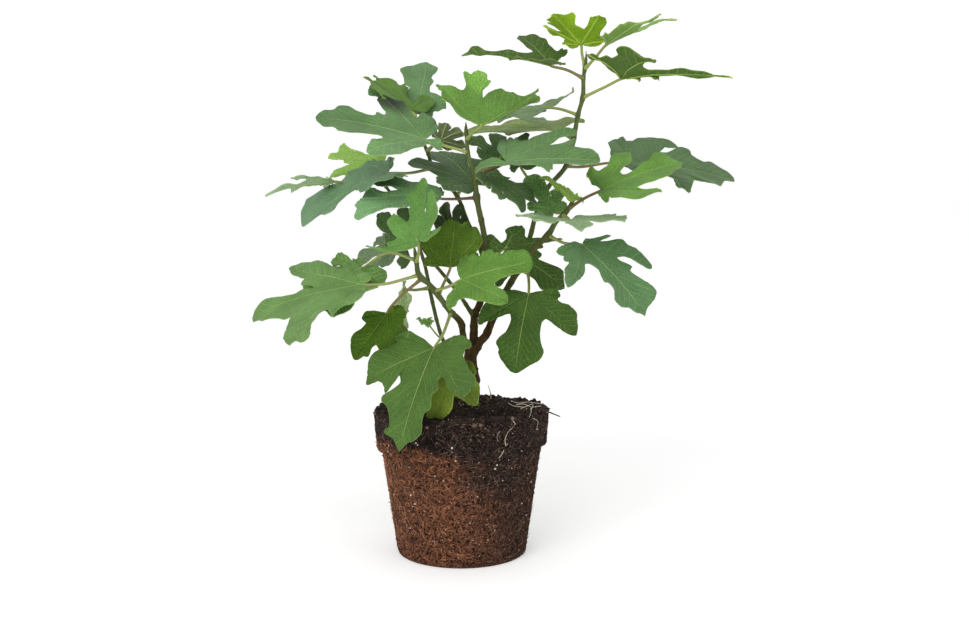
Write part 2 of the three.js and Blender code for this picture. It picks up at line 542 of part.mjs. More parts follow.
function potGeometry() {
  const step = POT_HEIGHT - COLLAR_HEIGHT;
  const wallTop = COLLAR_RADIUS - COLLAR_STEP;
  const outside = [[0, 0], [BASE_RADIUS, 0], [wallTop, step - LEDGE_DROP],
    [COLLAR_RADIUS - COLLAR_FLARE, step], [COLLAR_RADIUS, POT_HEIGHT]];
  const inside = [[COLLAR_RADIUS - WALL, POT_HEIGHT], [wallTop - WALL, step - LEDGE_DROP],
    [BASE_RADIUS - WALL, FLOOR], [0, FLOOR]];
  return leanPot(lathe([...outside, ...inside], POT_SIDES));
}

// The soil's top: a mound at the stem, a hollow near the front rim and small lumps.
function soilHeight(x, y) {
  const bell = ({ x: cx, y: cy, spread }) => Math.exp(-((x - cx) ** 2 + (y - cy) ** 2) / (2 * spread ** 2));
  const lumps = Math.sin(x * 0.19 + 1) * Math.cos(y * 0.23 - 2) + 0.6 * Math.sin(x * 0.41 - y * 0.37);
  const height = POT_HEIGHT + SOIL_COVER + MOUND.height * bell(MOUND) - HOLLOW.depth * bell(HOLLOW)
    + SOIL_LUMPS * lumps;
  return Math.max(height, POT_HEIGHT - SOIL_DEEPEST);
}

function soilSolid(clearance) {
  const step = POT_HEIGHT - COLLAR_HEIGHT;
  const inner = COLLAR_RADIUS - WALL - GAP;
  const wallTop = COLLAR_RADIUS - COLLAR_STEP - WALL - GAP;
  const over = COLLAR_RADIUS - RIM_SHOWN;
  const top = SOIL_RINGS.map((ring) => [over * ring, POT_HEIGHT + SOIL_COVER]);
  const body = [[0, FLOOR + GAP], [BASE_RADIUS - WALL - GAP, FLOOR + GAP], [wallTop, step - LEDGE_DROP],
    [inner, POT_HEIGHT + GAP], [over, POT_HEIGHT + GAP]];
  const geometry = lathe([...body, ...top, [0, POT_HEIGHT + SOIL_COVER]], SOIL_SIDES);
  const position = geometry.attributes.position;
  for (let i = 0; i < position.count; i++) {
    const onTop = position.getZ(i) > POT_HEIGHT + SOIL_COVER / 2;
    if (onTop) position.setZ(i, soilHeight(position.getX(i), position.getY(i)));
  }
  return toSolid(leanPot(geometry)).subtract(clearance);
}

// The stalk of the young shoot with its leaflets.
function shootSolid(clearance) {
  const places = YOUNG_SHOOT.stalk.map(([right, down, depth]) => pointAt(right, down, depth));
  const radii = YOUNG_SHOOT.stalk.map((place) => place[3]);
  const stalk = largestPiece(toSolid(taperedTube(places, radii, PETIOLE_SIDES, 1)).subtract(clearance));
  return YOUNG_SHOOT.leaflets.reduce((shoot, leaflet) => (
    shoot.add(toSolid(bladeGeometry(leaflet, bladePose(leaflet))))
  ), stalk);
}

function addMesh(group, name, geometry, colour, roughness) {
  const material = new THREE.MeshStandardMaterial({ color: colour, roughness, metalness: 0 });
  const mesh = new THREE.Mesh(geometry, material);
  mesh.name = name;
  group.add(mesh);
}

const plant = new THREE.Group();
plant.name = 'potted_fig';
const stemClearance = joinedStems(GAP);

addMesh(plant, 'fibre_pot', potGeometry(), COLOURS.pot, 0.95);
addMesh(plant, 'potting_soil', toGeometry(soilSolid(stemClearance)), COLOURS.soil, 1);
addMesh(plant, 'trunk_and_branches', toGeometry(joinedStems(0)), COLOURS.bark, 0.8);
addMesh(plant, 'young_shoot', toGeometry(shootSolid(stemClearance)), COLOURS.youngLeaf, 0.5);
for (const leaf of LEAVES) {
  const colour = leaf.young ? COLOURS.youngLeaf : COLOURS.leaf;
  addMesh(plant, leaf.name, toGeometry(leafSolid(leaf, stemClearance)), colour, 0.5);
}

export default plant;
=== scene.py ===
"""The finished look of a young fig plant in a pressed fibre pot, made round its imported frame."""

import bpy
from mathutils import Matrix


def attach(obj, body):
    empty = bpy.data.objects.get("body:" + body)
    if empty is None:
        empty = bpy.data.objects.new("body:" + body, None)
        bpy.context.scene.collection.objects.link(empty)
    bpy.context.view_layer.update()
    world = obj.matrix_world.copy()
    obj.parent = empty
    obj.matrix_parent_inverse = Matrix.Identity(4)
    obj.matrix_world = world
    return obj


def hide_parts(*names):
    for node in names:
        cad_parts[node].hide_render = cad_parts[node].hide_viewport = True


bl_info = {
    "name": "Potted Fig Plant",
    "version": (1, 0, 0),
    "blender": (4, 5, 0),
    "location": "View3D > Sidebar > Potted Fig",
    "description": "Makes the leaves, stems, soil and fibre pot of a young fig plant",
    "category": "Add Mesh",
}

import bpy
import numpy as np
from bpy.props import FloatProperty, FloatVectorProperty, IntProperty, PointerProperty
from bpy.types import Operator, Panel, PropertyGroup
from mathutils import Vector
from numpy.linalg import norm

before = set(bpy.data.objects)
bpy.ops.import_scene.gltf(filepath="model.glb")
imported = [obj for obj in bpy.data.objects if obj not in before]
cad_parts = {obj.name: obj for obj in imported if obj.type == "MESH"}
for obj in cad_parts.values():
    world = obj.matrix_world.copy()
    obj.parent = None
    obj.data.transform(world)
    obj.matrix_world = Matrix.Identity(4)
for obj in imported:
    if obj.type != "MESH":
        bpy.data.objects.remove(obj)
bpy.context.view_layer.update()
BODY = "root"
MM = 0.001

# Stems and leaves are placed as they are seen from one point in front of the plant, in millimetres. A seen
# place is (right, down) in the frame of a 969 by 624 picture, and a depth is the distance behind the pot's
# axis.
EYE = np.array([21.8, -1330.0, 413.0])
EYE_TILT = np.radians(7.8)
FOCAL_LENGTH = 1424.0
PICTURE_WIDTH = 969
PICTURE_CENTRE = np.array([484.5, 312.0])
SENSOR_WIDTH = 36.0
VIEW_RIGHT = np.array([1.0, 0.0, 0.0])
VIEW_UP = np.array([0.0, np.sin(EYE_TILT), np.cos(EYE_TILT)])
VIEW_AHEAD = np.array([0.0, np.cos(EYE_TILT), -np.sin(EYE_TILT)])

# Blade shape, as parts of the length of the middle lobe. Lobes run clockwise as seen, from the petiole.
MIDDLE_LOBE = 2
LOBE_ANGLES = np.radians([-100.0, -54.0, 0.0, 54.0, 100.0])
LOBE_LENGTHS = np.array([0.4, 0.76, 1.0, 0.76, 0.4])
LOBE_WIDTHS = np.array([0.44, 0.3, 0.26, 0.3, 0.44])
LOBE_PROFILE = {"inner": np.array([0.78, 1.0, 0.66, 0.36]), "outer": np.array([0.66, 0.98, 0.66, 0.34])}
PROFILE_SPREAD = (0.92, 1.08)
LONGEST_LOBE = 1.15
LOBE_ROOM = 0.94
BASE_ROOM = 0.08
LOBE_MIN_ANGLE = np.radians(26.0)
BASAL_LIMIT = np.radians(153.0)
LOBE_CHANNEL = 0.05
LOBE_DROOP = 0.05
SINUS_DEPTHS = np.array([0.62, 0.44, 0.44, 0.62])
DEEPEST_SINUS = 0.72
MARGIN_STEPS = np.array([0.24, 0.62, 0.88, 0.97])
MARGIN_SAMPLES = 24
TOOTH_SPACING = 0.085
TOOTH_GAPS = (3.5, 9.5)
TOOTH_HEIGHT = 0.026
TRACED_TOOTH_HEIGHT = 0.011
MARGIN_SHARPNESS = 0.5
FULL_VEIN_SIZE = 85.0
TRACED_DAMPING = 0.004
TRACED_MIN_ANGLE = np.radians(9.0)
SIDE_VEIN_SPACING = 0.09
VEIN_LEAN = 0.45
VEIN_ROOM = 0.22
VEIN_BOW = 0.02
GROOVE_WIDTH = 0.8
GROOVE_DEPTH = 0.35
VEIN_MAP_SCALE = 0.01
LEAST_ROWS = 16
MOST_ROWS = 36
ROWS_PER_MILLIMETRE = 0.22
PATCH_COLUMNS = np.array([0.0, 0.025, 0.07, 0.14, 0.26, 0.42, 0.6, 0.78, 0.91, 1.0])
LEAST_FLATNESS = 0.08
FIT_ROUNDS = 4
FIT_DAMPING = 0.03
DROOP = 0.12
FOLD = 0.1
PETIOLE_RADII = (1.1, 1.5)
PETIOLE_SIDES = 10
PETIOLE_STEPS = 8
PETIOLE_INSET = 3.0


def numbers(text):
    """The numbers of a text that has commas between them."""
    return tuple(map(float, text.split(",")))


def places_in(text):
    """The places of a text that has spaces between them."""
    return [numbers(place) for place in text.split()]


def read_lines(text):
    """The first word and the rest of each line. An indented line goes on from the one before."""
    return [line.split(" ", 1) for line in text.strip().replace("\n    ", " ").splitlines()]


def traced_outline(text):
    """The tips, the sinuses and the edges of the ten half lobes of an outline. It runs clockwise as seen
    round the blade from its base: ^ marks a tip, v a sinus, and ~ stands for an edge that isn't traced."""
    marked, edges, edge = {"^": [], "v": []}, [], []
    for word in text.split():
        mark = word[-1]
        if mark == "~":
            edge = None
        elif mark in marked:
            marked[mark].append(numbers(word[:-1]) if word[:-1] else None)
            edges.append(edge)
            edge = []
        else:
            edge.append(numbers(word))
    return {"tips": marked["^"], "sinuses": marked["v"], "edges": [*edges, edge]}


def read_leaves(text):
    """Leaves from lines of text. A leaf starts with its name, stem, finish, base (right, down, depth) and
    looks. petiole lists the places from the base to the stem, and tips the ends of the five lobes,
    clockwise as seen from the petiole. An outline takes the place of tips, and then fit may list tips just
    for the blade's plane."""
    leaves = []
    for key, line in read_lines(text):
        if key == "outline":
            leaves[-1].update(traced_outline(line))
        elif key in ("petiole", "tips", "fit"):
            leaves[-1][key] = places_in(line)
        else:
            stem, finish, base, *looks = line.split()
            base = numbers(base)
            leaves.append({"name": key, "stem": stem, "finish": finish, "base": base[:2], "depth": base[2]})
            for word in looks:
                look, _, value = word.partition("=")
                leaves[-1][look] = (numbers(value) if "," in value else float(value)) if value else True
    return leaves


# Stems: each place is right,down,depth,radius.
STEMS = {name: places_in(places) for name, places in read_lines("""
trunk 474,432,8,6.4 474,398,8,6.3 472,374,7,6.2 470.5,357,6,6.3 472.5,346,5,5.3
right 472.5,354,5,5 479,343,3,4.3 486,335,1,3.8 492,321,-1,3.5 507,289,-7,3.1 533,250,-14,2.8
    548,235,-18,2.9 556,222,-20,2.4 566,212,-22,2.2 572,203,-24,1.7
tall 494,317,0,2.8 507,290,10,2.7 520,262,18,2.6 530,237,23,2.5 536,214,26,2.3 547,189,27,2.3 566,166,27,2.3
    573,142,24,2.4 578,115,20,2.1 583,96,16,2.2 583.5,77,13,1.9 585,68,11,1.7 586,60,11,1.6 586,50,11,0.4
middle 472.5,354,5,4.6 474,330,7,3.8 474.5,316,8,3.7 480,303,9,3.3 485,285,9,3.1 486,262,8,3 484,235,6,2.8
    477,200,0,2.7 474,174,-5,2.4 467.5,152,-9,2.1 467,138,-10,1.9 466,130,-10,2 466,121,-10,0.4
left 472,358,4,3.8 466,346,1,3.3 463,335,-2,3.1 461,323,-8,3.3 450,311,-16,2.7 430,285,-31,2.4
    419,275,-38,2.6 416.5,262,-42,1.9 415,252,-43,1.8 414,245,-43,0.4
back 485.5,267,8,2.2 478,243,17,1.9 468,222,25,1.8 457,196,33,2 440,177,38,1.6 432,165,40,1.6 427,151,42,1.7
    418,130,45,1.3 416,117,46,1.2
twig 474.5,318,8,2.6 463,300,11,2 452,285,14,1.9 437,267,18,1.8 424,250,23,1.6 416,236,27,1.1
thin 471,376,8,3.4 452,357,14,2.2 443,340,18,2 438,325,21,1.9 432,300,25,2 424,262,33,1.8 409,221,44,1.7
    394,197,53,1.6 378,178,60,1.2
""")}

# The looks of a leaf. under: its lower face is seen. young: a young leaf. tilt: degrees between the blade
# and the picture, where the tips don't say it. flip: the blade tilts the other way, its upper face turned
# down. cup and fold lift the blade's ends and its two halves to the upper side, as a part of its length.
# rise: how much higher the cup makes the middle tip's seen place. slim: how far apart its lobes are. broad:
# how wide they are. teeth: how high its teeth are. shade and blue: how bright and how blue it is against its
# finish, which is its own tone together with painted light where the leaf lies lit and painted shade where it
# lies in shadow, and in the blue a painted sky reflection. red: how red its petiole is. shades: the shade of
# each lobe, its own tone together with painted light and shade on that lobe.
LEAVES = read_leaves("""
leaf_top_left tall dark 552,65.5,-2 fold=0.45 shade=0.86 blue=0.55 red=0.75
petiole 567,70 583,78
fit 566,62 510,60 462,53 519,34 567,46
outline 566,61.5^ 536,60v 510,57^ 492,56.5v 462,53^ 468,51 471,47 478,46 485,49 500,51 508,51 517,53 528,53
    533,52v 529,48 521,43 517,39 519,34^ 525,34 531,34 541,39 546,39 550,46 556,51v 561,50 567,46^ 568,51
    562,56 560,60
leaf_top_crown tall young_under 581,44,24 under young cup=0.1 teeth=2.4 shade=1.15 blue=0.15
petiole 582,54 585,68
outline 577,48 570,47 563,43^ 565,39v 556,36 549,32 543,25^ 550,28 559,31 566,34v 558,30 546,24 552,22
    547,19 551,17 553,13^ 560,13 566,15 572,14 575,17 575,24 580,27 584,29v 588,24 590,18 600,13^ 606,20
    606,25 601,31 600,36v 606,40^ 601,43 590,48
leaf_top_young tall young_under 606,44.5,-8 under young fold=0.4 teeth=1.6 blue=0.8
petiole 595,58 585,69
outline 600,34^ 604,34 609,34v 614,29 620,24 624,25 629,23 636,23 646,21 652,16 660,11^ 657,16 646,24
    638,30v 650,25 657,22 664,18 676,16^ ~ v ~ 650,30^ ~ v ~ 615,43^ ~
leaf_top_right tall dark_under 621,78.5,0 under fold=0.1 shade=1.15 blue=0.38
petiole 605,87 583,97
fit 587,51 653,55 733,75 672,78 633,79
outline 612,71 598,61 591,57 587,51^ 598,57 606,57 612,58v 618,55 616,51 621,49 628,49 634,51 641,54 648,54
    654,56^ 656,59 654,62 648,62 642,64v 643,67 648,70 656,71 668,72 684,68 691,69 705,70 714,74 733,75^
    712,77.2 690,78.2 672,77v 656,73^ 644,74v 633,73^
leaf_mid_grey tall grey 545,107.5,56 slim=0.8 shade=1.1
petiole 560,109 578,115
fit 558,113 549,121 497,121 510,106 577,88
outline 544,109 541,110^ 533,112.5 527,114.5v 532,116.5 538,118.5 544,118 548,121^ 540,123 532,122 526,121v
    520,118.5 512,117.5 504,119 497,121^ 500,117 506,113v 510,107^ 520,108.5 529,107 536,105.5v 541,105
    546,102.5 552,100 557,99 561,96.2 565,96.2 569,93.3 573,91 578.5,88.5^ 574,92.3 570,94.6 562,100
    552,106.5
leaf_mid_flat tall olive 556,129.5,58 slim=0.75 shade=1.15 blue=0.85
petiole 565,135 574,141
outline ~ 562,127^ ~ v ~ 510,131^ ~ v ~ 458,131^ ~ v ~ 497,123^ ~ 554,120.8v 567,119.5 572.5,117.5 579,116.8
    585,119^ 578,121 571,125
leaf_far_right tall slate 628,163,40 shade=0.7 blue=0.78 red=0.85
petiole 609,163 580,167 566,167
outline 611,157 610,150 608,143 611,138 615,136^ 621,137 626,141 632,141v 637,139 650,137 661,139 670,140
    679,144^ 674,148 665,147 655,149v 658,152 666,153 680,150 689,153 691,157 703,162 710,161 717,165
    728,172 735,179^ 730,182 724,182 720,187 711,187 704,183 695,180v 693,184 690,187^ 684,185 679,185
    671,178 662,176v ~ 640,171^ ~
leaf_right_back tall dark 520,165,40
petiole 527,177 541,199
tips 510,169 498,143 525,133 537,137 540,160
leaf_right_bright right bright 601.5,189.5,-34 shade=0.88 blue=0.57 red=0.85
petiole 585,198 568,209
outline 592,184 590,180 587,177 586,173^ 588,169 591,168 599,171v 606,167 612,157 620,151 629,150^ 631,156
    631,161 625,167 620,172v 624,175 634,170 644,163 648,163 655,154 663,153 669,156 681,160^ 677,170
    671,176 659,179 653,182 645,184 637,187 634,189v 641,190 652,187 661,188^ 652,194 640,198 624,199
    614,198v 606,199^ 598,195
leaf_right_folded right young 571,197,-12 young shade=1.15 blue=0.4
petiole 572,200 573,203
tips 566,199 556,188 542,174.5 566,188 583,198.5
leaf_right_flat right grey 570,220,-44 shade=1.45
petiole 568,218 563,215
tips 613,212 625,216.5 582,222 535,217 516,210
leaf_right_dark right dark 554.5,211,8 tilt=30 shade=2.1
petiole 560,213 566,214
tips 538,214 528,206 527,176 558,190 567,205
leaf_right_low right mid 583,245,-30 shade=0.9 blue=1.1
petiole 564,243 548,236
outline 583,242 586,239 593,237^ 600,237 611,236 615,238v 622,241 627,245 636,247 643,252 650,260 654,265^
    650,266 641,265 625,256 617,258v 620,261 632,267 630,271 640,278 651,286 656,293 654,300 648,307
    647,313^ 642,311 638,311 631,306 622,306 615,300 614,290 608,284 603,284 600,278 598,270 590,264
    585,264v 584,274 577,281 571,284^ 566,279 564,270 566,266v 563,261 563,256 557,250^ 566,244 574,242
leaf_centre_dark middle dark 506,247.5,12 tilt=15 shade=0.92 blue=0.6
petiole 498,254 486,266
outline 497,254 484,252 479,243 482,237^ 488,235 492,234 497,239 501,243v 506,239 507,234 505,230 510,227
    517,225^ 522,226 525,230 525,236 527,238v 537,238 551,238 563,239^ 551,241 542,244 543,248 535,250
    542,254 541,257 538,259v 545,262 557,267 563,271 564,279 565,288^ 556,290 541,290 534,279 520,272v
    508,277 500,286^ 493,282 496,266
leaf_low_right right rich 528.5,293.5,-42 broad=1.2 shade=0.63 blue=0.5 red=0.3
petiole 528,275 523,264
outline 540,291 550,289 557,290 560,295^ 558,299 558,300v 562,303 569,305 577,313 577,319 578,327 576,335^
    568,334 560,329 551,322 546,319v 542,322 540,334 541,343 544,352 542,358 538,362 533,364 524,369
    515,373^ 509,370 503,362 498,354 499,349 496,343 500,337 506,332 511,320 510,314v 504,315 497,318
    491,321 486,321 478,324^ 479,314 485,303 493,299v 497,291^ 505,290 513,290 524,292
leaf_mid_crown middle mid 481,125,-26 young cup=0.6 rise=26 teeth=1.6 blue=0.5 shades=0.95,1.2,1.75,0.8,0.78
petiole 473,133 467,139
fit 457,88 437,83 477,69 539,89 501,90
outline 467,121 457,112 449,101 444,95^ 442,92 441,90v 438,87 436,82^ 445,84 453,88 463,90v 466,85 463,75
    466,72 471,73 474,69 480,68^ 484,71 487,75 487,79 491,81 483,89 482,98v 488,93 495,90 501,90 507,94
    512,93.5 520,94.5 526,93.5 531,91 535,89 539,87^ 538,89.5 535,94.5v 538,96 540,100^ 536,101 530,104
    518,109.5 505,116 492,122
leaf_mid_right middle mid 507,162,-46 shade=1 blue=0.86 red=0.95
petiole 495,168 474,174
outline 501,156 497,148 500,140 507,137^ 514,138 519,141v 530,141 543,133 556,131 569,128 577,129^ 575,134
    564,138 549,145v 560,144 575,141 576,144 573,148 584,148 591,148 597,153 600,159^ 597,164 587,163
    580,167 572,168 564,165 555,164v 552,167 549,168^ 542,167 536,164 527,164 518,165v 505,164 490,165
    474,165^ 480,161 492,159
leaf_mid_back middle dark 500,157,18 tilt=45
petiole 490,166 473,171
tips 477,149 468,138 496,133 522,144 524,160
leaf_mid_left middle dark 474,184,12 shade=1.1 blue=1.2
petiole 475,190 477,198
tips 442,187 410,158 438,150 485,158 505,175
leaf_mid_low middle dark 488,176,-14 shade=1.15
petiole 482,176 475,178
tips 505,174 537,199 525,210 500,196 486,187
leaf_left_large middle mid 424,139,-24 blue=0.93 shades=1.2,1.25,0.8,0.1,0.97
petiole 442,145 467,152
outline 432,139 440,141 443,147^ 436,148 428,146 420,147v 411,149 405,153 399,157 388,157 379,156 371,154
    367,149^ 369,143 372,139 377,141 383,138v 380,135 366,134 356,135 349,136 337,134 335,130 332,127
    326,127 321,122 316,115^ 324,110 334,109 339,105 348,106 357,113 367,117 374,117 377,112 384,115v
    386,112 377,102 379,95 381,93^ 388,97 397,100 403,100 408,108 412,115 417,118v 421,115 426,114 432,116
    437,122^ 438,127 434,134 428,138
leaf_left_mid middle slate 440,198,-16 tilt=55 shade=1.45 blue=0.95 red=1.5 shades=1,1,0.8,0.35,0.6
petiole 457,199 477,197
outline 442,199 436,203 424,206^ 414,205v 403,208 388,209 376,212 366,214 358,217 354,212^ 357,208 355,205
    362,200v 360,197^ 364,192 369,188 380,190 388,191.5 398,190v 390,187.5 380,185.5 370,182 365,178^
    374,175 388,174 399,176 412,182 425,184 436,183v 443,189^ 444,193
leaf_small_brown back brown 441,139.5,36 under
petiole 434,145 427,151
tips 433,133 447,123 462,131 465,147 449,150
leaf_left_long back slate 388,173,2 shade=1.08 blue=1.08
petiole 410,173 433,168
outline 396,173 407,175^ 398,177 390,179v 380,183 361,190^ 354,190v 345,197 338,205 334,213 326,217 320,216
    311,221 300,223^ 302,212 305,206 307,200 314,196 325,191 332,186 332,183v 345,178 356,170 370,160^
    382,157v 394,157^ 393,164
leaf_upright_grey back slate 416,113,82 broad=1.5 shade=0.98 blue=0.85
petiole 417,122 421,136
outline 405,114 393,113 385,108^ 386,104 384,102v 377,98 369,94 368,91^ 371,84 385,90 396,98 406,98v 405,94
    410,87 405,84 403,76 399,71 405,68 412,66 420,62 427,61^ 433,64 438,68 436,73 431,78 434,81 430,87
    430,92v 437,94 441,98 446,103 446,108^ 441,110 438,112v 433,115^ 424,115
leaf_upper_folded back bright 410,110,54 young shade=0.62 blue=0.35
petiole 414,114 416,119
outline 400,110 392,106 385,103^ 381,98 380,94v 373,88 369,81 364,75^ 371,80 376,81v 376,79 374,74^ 379,78
    389,80 396,82 399,85v 404,85 409,86^ 407,91 405,95 407,100v 413,104 417,101 419,97 427,95 434,94^ 437,99
    432,107 423,113
leaf_left_young thin young 383,163,84 young tilt=20 shade=1.17 blue=0.78
petiole 386,172 386,187
outline ~ 352,180^ 342,178v 329,177^ 334,171 342,167 350,164v 344,163 344,160 328,158^ 330,154 333,151v
    339,148 343,143^ 350,148 357,151v 366,150 378,149^ ~
leaf_far_left thin grey 335,181,38 under slim=0.6 shade=1.9 blue=1.1
petiole 356,184 384,182
fit 326,188 300,188 265,193 291,177 326,178
outline 326,187.5^ 319,184.8v 305,185.5 297,186.3 291,189^ 284,189v 275,191 265,193^ 268,190 275,187.5
    285,185 297,183.8 303,181.5 307.5,179.8v 303,179 296,178.7 290.5,177^ 296,176.3 306,175.5 314,176.5
    320,177v 328,177.5^
leaf_small_under back brown 463,188,36 under
petiole 460,191 457,196
tips 456,188 450,184 462,181 476,184 470,189
leaf_left_crown left bright 417,240,-74 young cup=0.45 broad=1.25 rise=25 shade=0.87 blue=0.85
petiole 419,250 417,262
outline 418,247 410,251 398,252 384,251 373,247 364,245^ 377,247 389,248 388,244 397,238v 394,235 389,228
    388,222 390,216 393,214^ 399,216 403,220 407,222v 410,218 409,211 412,206 409,201 407,197 410,192
    416,187 419,181 424,177^ 427,183 425,191 427,200 425,208 425,214v 428,206 427,198 432,189^ 435,197
    438,209 435,222 431,230 427,238v 433,232 440,226^ 438,232 428,241
leaf_left_low left slate 361,284.5,-46 shade=1.07 blue=0.6
petiole 385,284 405,279 418,275
outline 380,290 369,291 361,298 352,303 344,304 338,308 332,316^ 329,312 328,309 328,305v 322,312 318,316
    316,321 312,325 309,336 305,340 301,342 297,340 292,341 289,344^ 284,341 286,330 290,319 301,310
    313,305v 302,311 291,318 285,320 279,319 271,320 263,322 257,319 252,319 251,315^ 254,309 263,301
    281,297 296,293 301,290 315,288v 311,286 302,287 302,282 305,278 299,277 291,274 290,270 288,267^
    296,264 303,261 310,262 317,261 325,264 336,268 343,268v 345,264 349,261^ 355,262 361,268 363,272
    371,273 371,281
leaf_left_behind left dark 361,268,-6 shade=1.8 blue=0.8
petiole 388,253 414,261
tips 384,284 333,316 302,285 335,256 352,260
leaf_front_left left rich 387.5,313,-20 tilt=22 shade=0.75 blue=0 red=0.85
petiole 400,297 421,279
outline 391,308 397,305 403,306 406,313^ 405,318 403,323v 407,329 412,338^ 406,346 399,348v 400,358 391,364^
    382,360 380,352 376,345v 372,348 371,353 368,357 363,356 358,359 354,360^ 351,353 350,347 351,339
    354,334 361,329 366,323v 364,321 361,318^ 363,313 367,311 377,311
leaf_front_low left mid 434,347.5,-62 shade=0.63 blue=0.5
petiole 443,334 451,312
outline 441,343 448,338 456,336 464,336 468,340 470,344^ 467,349 463,355v 465,360 470,370 476,378 474,386
    470,387 467,392 461,397^ 455,393 449,390 446,381 441,376v 438,380 439,390 432,396 431,408 424,413
    422,420 422,434 415,441 406,444 398,451^ 395,443 392,438 384,432 390,427 389,415 387,406 382,402 383,397
    393,391 401,383 399,374v 395,383 385,393 383,384 378,381 371,383 363,382^ 366,370 369,361 377,352
    390,346 398,342v 396,339 394,335^ 402,333 409,331 415,334 424,339
leaf_front_mid left mid 461,279.5,-56 shade=1.12 blue=0.5
petiole 450,286 434,290
outline 458,274 457,266 459,258 463,254^ 469,254 476,256 480,256v 484,251 489,249^ 494,252 501,254v 508,252
    516,250 524,250 530,255 532,261^ 531,268 527,273 517,275 501,278 494,284v 498,288 504,290 508,296
    507,301^ 502,303 489,304 479,301 471,299 464,298v 457,303 450,309^ 446,305 447,298 451,291 457,283
leaf_centre_back left dark 450,267,-28 shade=1.1 blue=0.2 red=0.7
petiole 443,285 439,295
outline 442,267 433,266 424,265^ 420,252v 420,240^ 430,232 438,229v 445,222 450,220 457,221^ 463,225 468,222
    472,224v 477,228 481,236^ 483,243 482,249v 479,255 476,262^ 468,264 458,267
leaf_hanging_grey thin olive 404,291,28 under flip slim=0.6 shade=1.9 blue=1.1
petiole 415,290 430,288
tips 409,310 404,332 386,350 393,312 406,282
leaf_low_olive trunk olive 455,368,-58 shade=1.45 blue=0.4 red=0.75 shades=0.5,0.6,1,1,1
petiole 460,372 470,379
fit 480,384 476,405 434,420 426,395 440,368
outline ~ 474,374^ 477,379v 479,384 479.5,392 479,400 476,405^ 469,405 463,400 454,396v 453,402 451,411
    447,417 434,420^ 427,417 424,402v ~ 426,395^ ~ v ~ 440,368^ ~
leaf_behind_crown twig dark 404,240,6
petiole 410,241 419,243
tips 403,269 385,245 377,216 404,207 415,225
leaf_behind_centre back dark 452,232,30 shade=0.42 blue=0.6 red=0.85
petiole 459,236 470,233
tips 439,238 436,218 443,203 461,205 467,218
leaf_pale_left thin grey 396,243,30
petiole 406,240 416,240
tips 386,266 367,272 354,261 374,244 388,229
""")

# A short green shoot: its stalk and its leaflets.
SHOOT_STALK = places_in("443,340,18,1 437,335,10,0.8 430,326,2,0.7 428,323,2,0.6")
SHOOT_LEAFLETS = read_leaves("""
leaflet_left thin young 428,324,2
tips 427,326 421,323 417,318 424,319 428,321
leaflet_right thin young 428,324,2
tips 427,322 427,319 431,317 433,321 431,324
""")

# The pot and its soil, in millimetres, as its frame has them.
POT_HEIGHT = 139.0
COLLAR_RADIUS = 82.5
COLLAR_HEIGHT = 33.0
COLLAR_STEP = 7.0
COLLAR_FLARE = 2.0
LEDGE_DROP = 3.0
BASE_RADIUS = 61.0
WALL = 3.5
FLOOR = 5.0
GAP = 0.3
RIM_LEAN = 0.052
RIM_SHOWN = 0.8
SOIL_COVER = 2.2
SOIL_DEEPEST = 12.0

# Stems: points between two places, sides, how far the swelling at a node and a leaf scar reach, how far
# apart and how high the scars are, what part of a stem has them, and the radii of green ends and of old
# wood.
STEM_STEPS = 12
STEM_SIDES = 16
NODE_REACH = 3.2
SCAR_REACH = 1.1
SCAR_GAPS = (9, 19)
SCAR_HEIGHT = 0.16
SCARRED_PART = 0.85
GREEN_RADIUS = 2.2
WOODY_RADIUS = 3.9

# Fineness of the pot and soil, and seeds of what is random.
POT_COLUMNS = 320
SOIL_COLUMNS = 240
SOIL_ROWS = 78
LEAF_SEED = 100
STEM_SEED = 7
SHOOT_SEED = 11
FIBRE_SEED = 13
SOIL_SEED = 17
CLING_SEED = 19

# Gloss of each leaf finish, and colours that several materials share.
LEAF_GLOSS = {"dark": 0.5, "rich": 0.5, "mid": 0.4, "slate": 0.25, "bright": 0.4, "young": 0.4, "grey": 0.2,
              "olive": 0.3, "brown": 0.3, "dark_under": 0.2, "young_under": 0.3}
LOWER_FACE_TONE = (0.23, 0.30, 0.17)
VEIN_TONE = (0.44, 0.54, 0.24)
PALE_COIR = (0.215, 0.150, 0.110)
GRASS_GREEN = (0.30, 0.42, 0.20)

# Large specks and fine roots on the wall, and roots, a twig and a blade of grass at the rim, as they are
# seen. A wall root's places have its radius beside them.
LARGE_SPECKS = "452,448 416,443 497,465 495,469 411,495 415,504"
WALL_ROOTS = {"513,421 515,424 512,428 508,432 505,440 506,446": 0.3, "504,450 502,454 499,458": 0.25,
              "531,408 531,413 529,417": 0.3, "500,431 497,437 498,441": 0.2,
              "533,418 538,422 537,428": 0.22}
RIM_ROOTS = ("511,401,-58 519,403,-60 527,402,-61 536,403,-60 544,404,-56",
             "516,405,-66 524,404,-66 531,407,-66 541,406,-62",
             "520,409,-70 527,406,-68 533,404,-66 531,410,-70", "508,403,-60 514,406,-64 523,407,-68")
RIM_ROOT_RADIUS = 0.2
RIM_TWIG = "541,409,-46 550,412.5,-42 560,416.5,-38"
GRASS_BLADE = "491,401,-6 490.5,393,-6 488,385,-7"
ROOT_STEPS = 8

# The moist patch of the wall, how far the collar sags, and the mound, the hollow and the waves of the soil's
# top. The hollow is darkened by painted shade, which spreads further than its dip.
DAMP_PLACE = (34, -68, 94)
DAMP_SPREAD = (38, 45, 30)
RIM_SINK = 9
MOUND = (12, 8)
MOUND_SPREAD = 26
MOUND_HEIGHT = 8
HOLLOW = (38, -46)
HOLLOW_SPREAD = 10
HOLLOW_DEPTH = 10
DARK_SPREAD = 13
WAVE_HEIGHT = 0.9

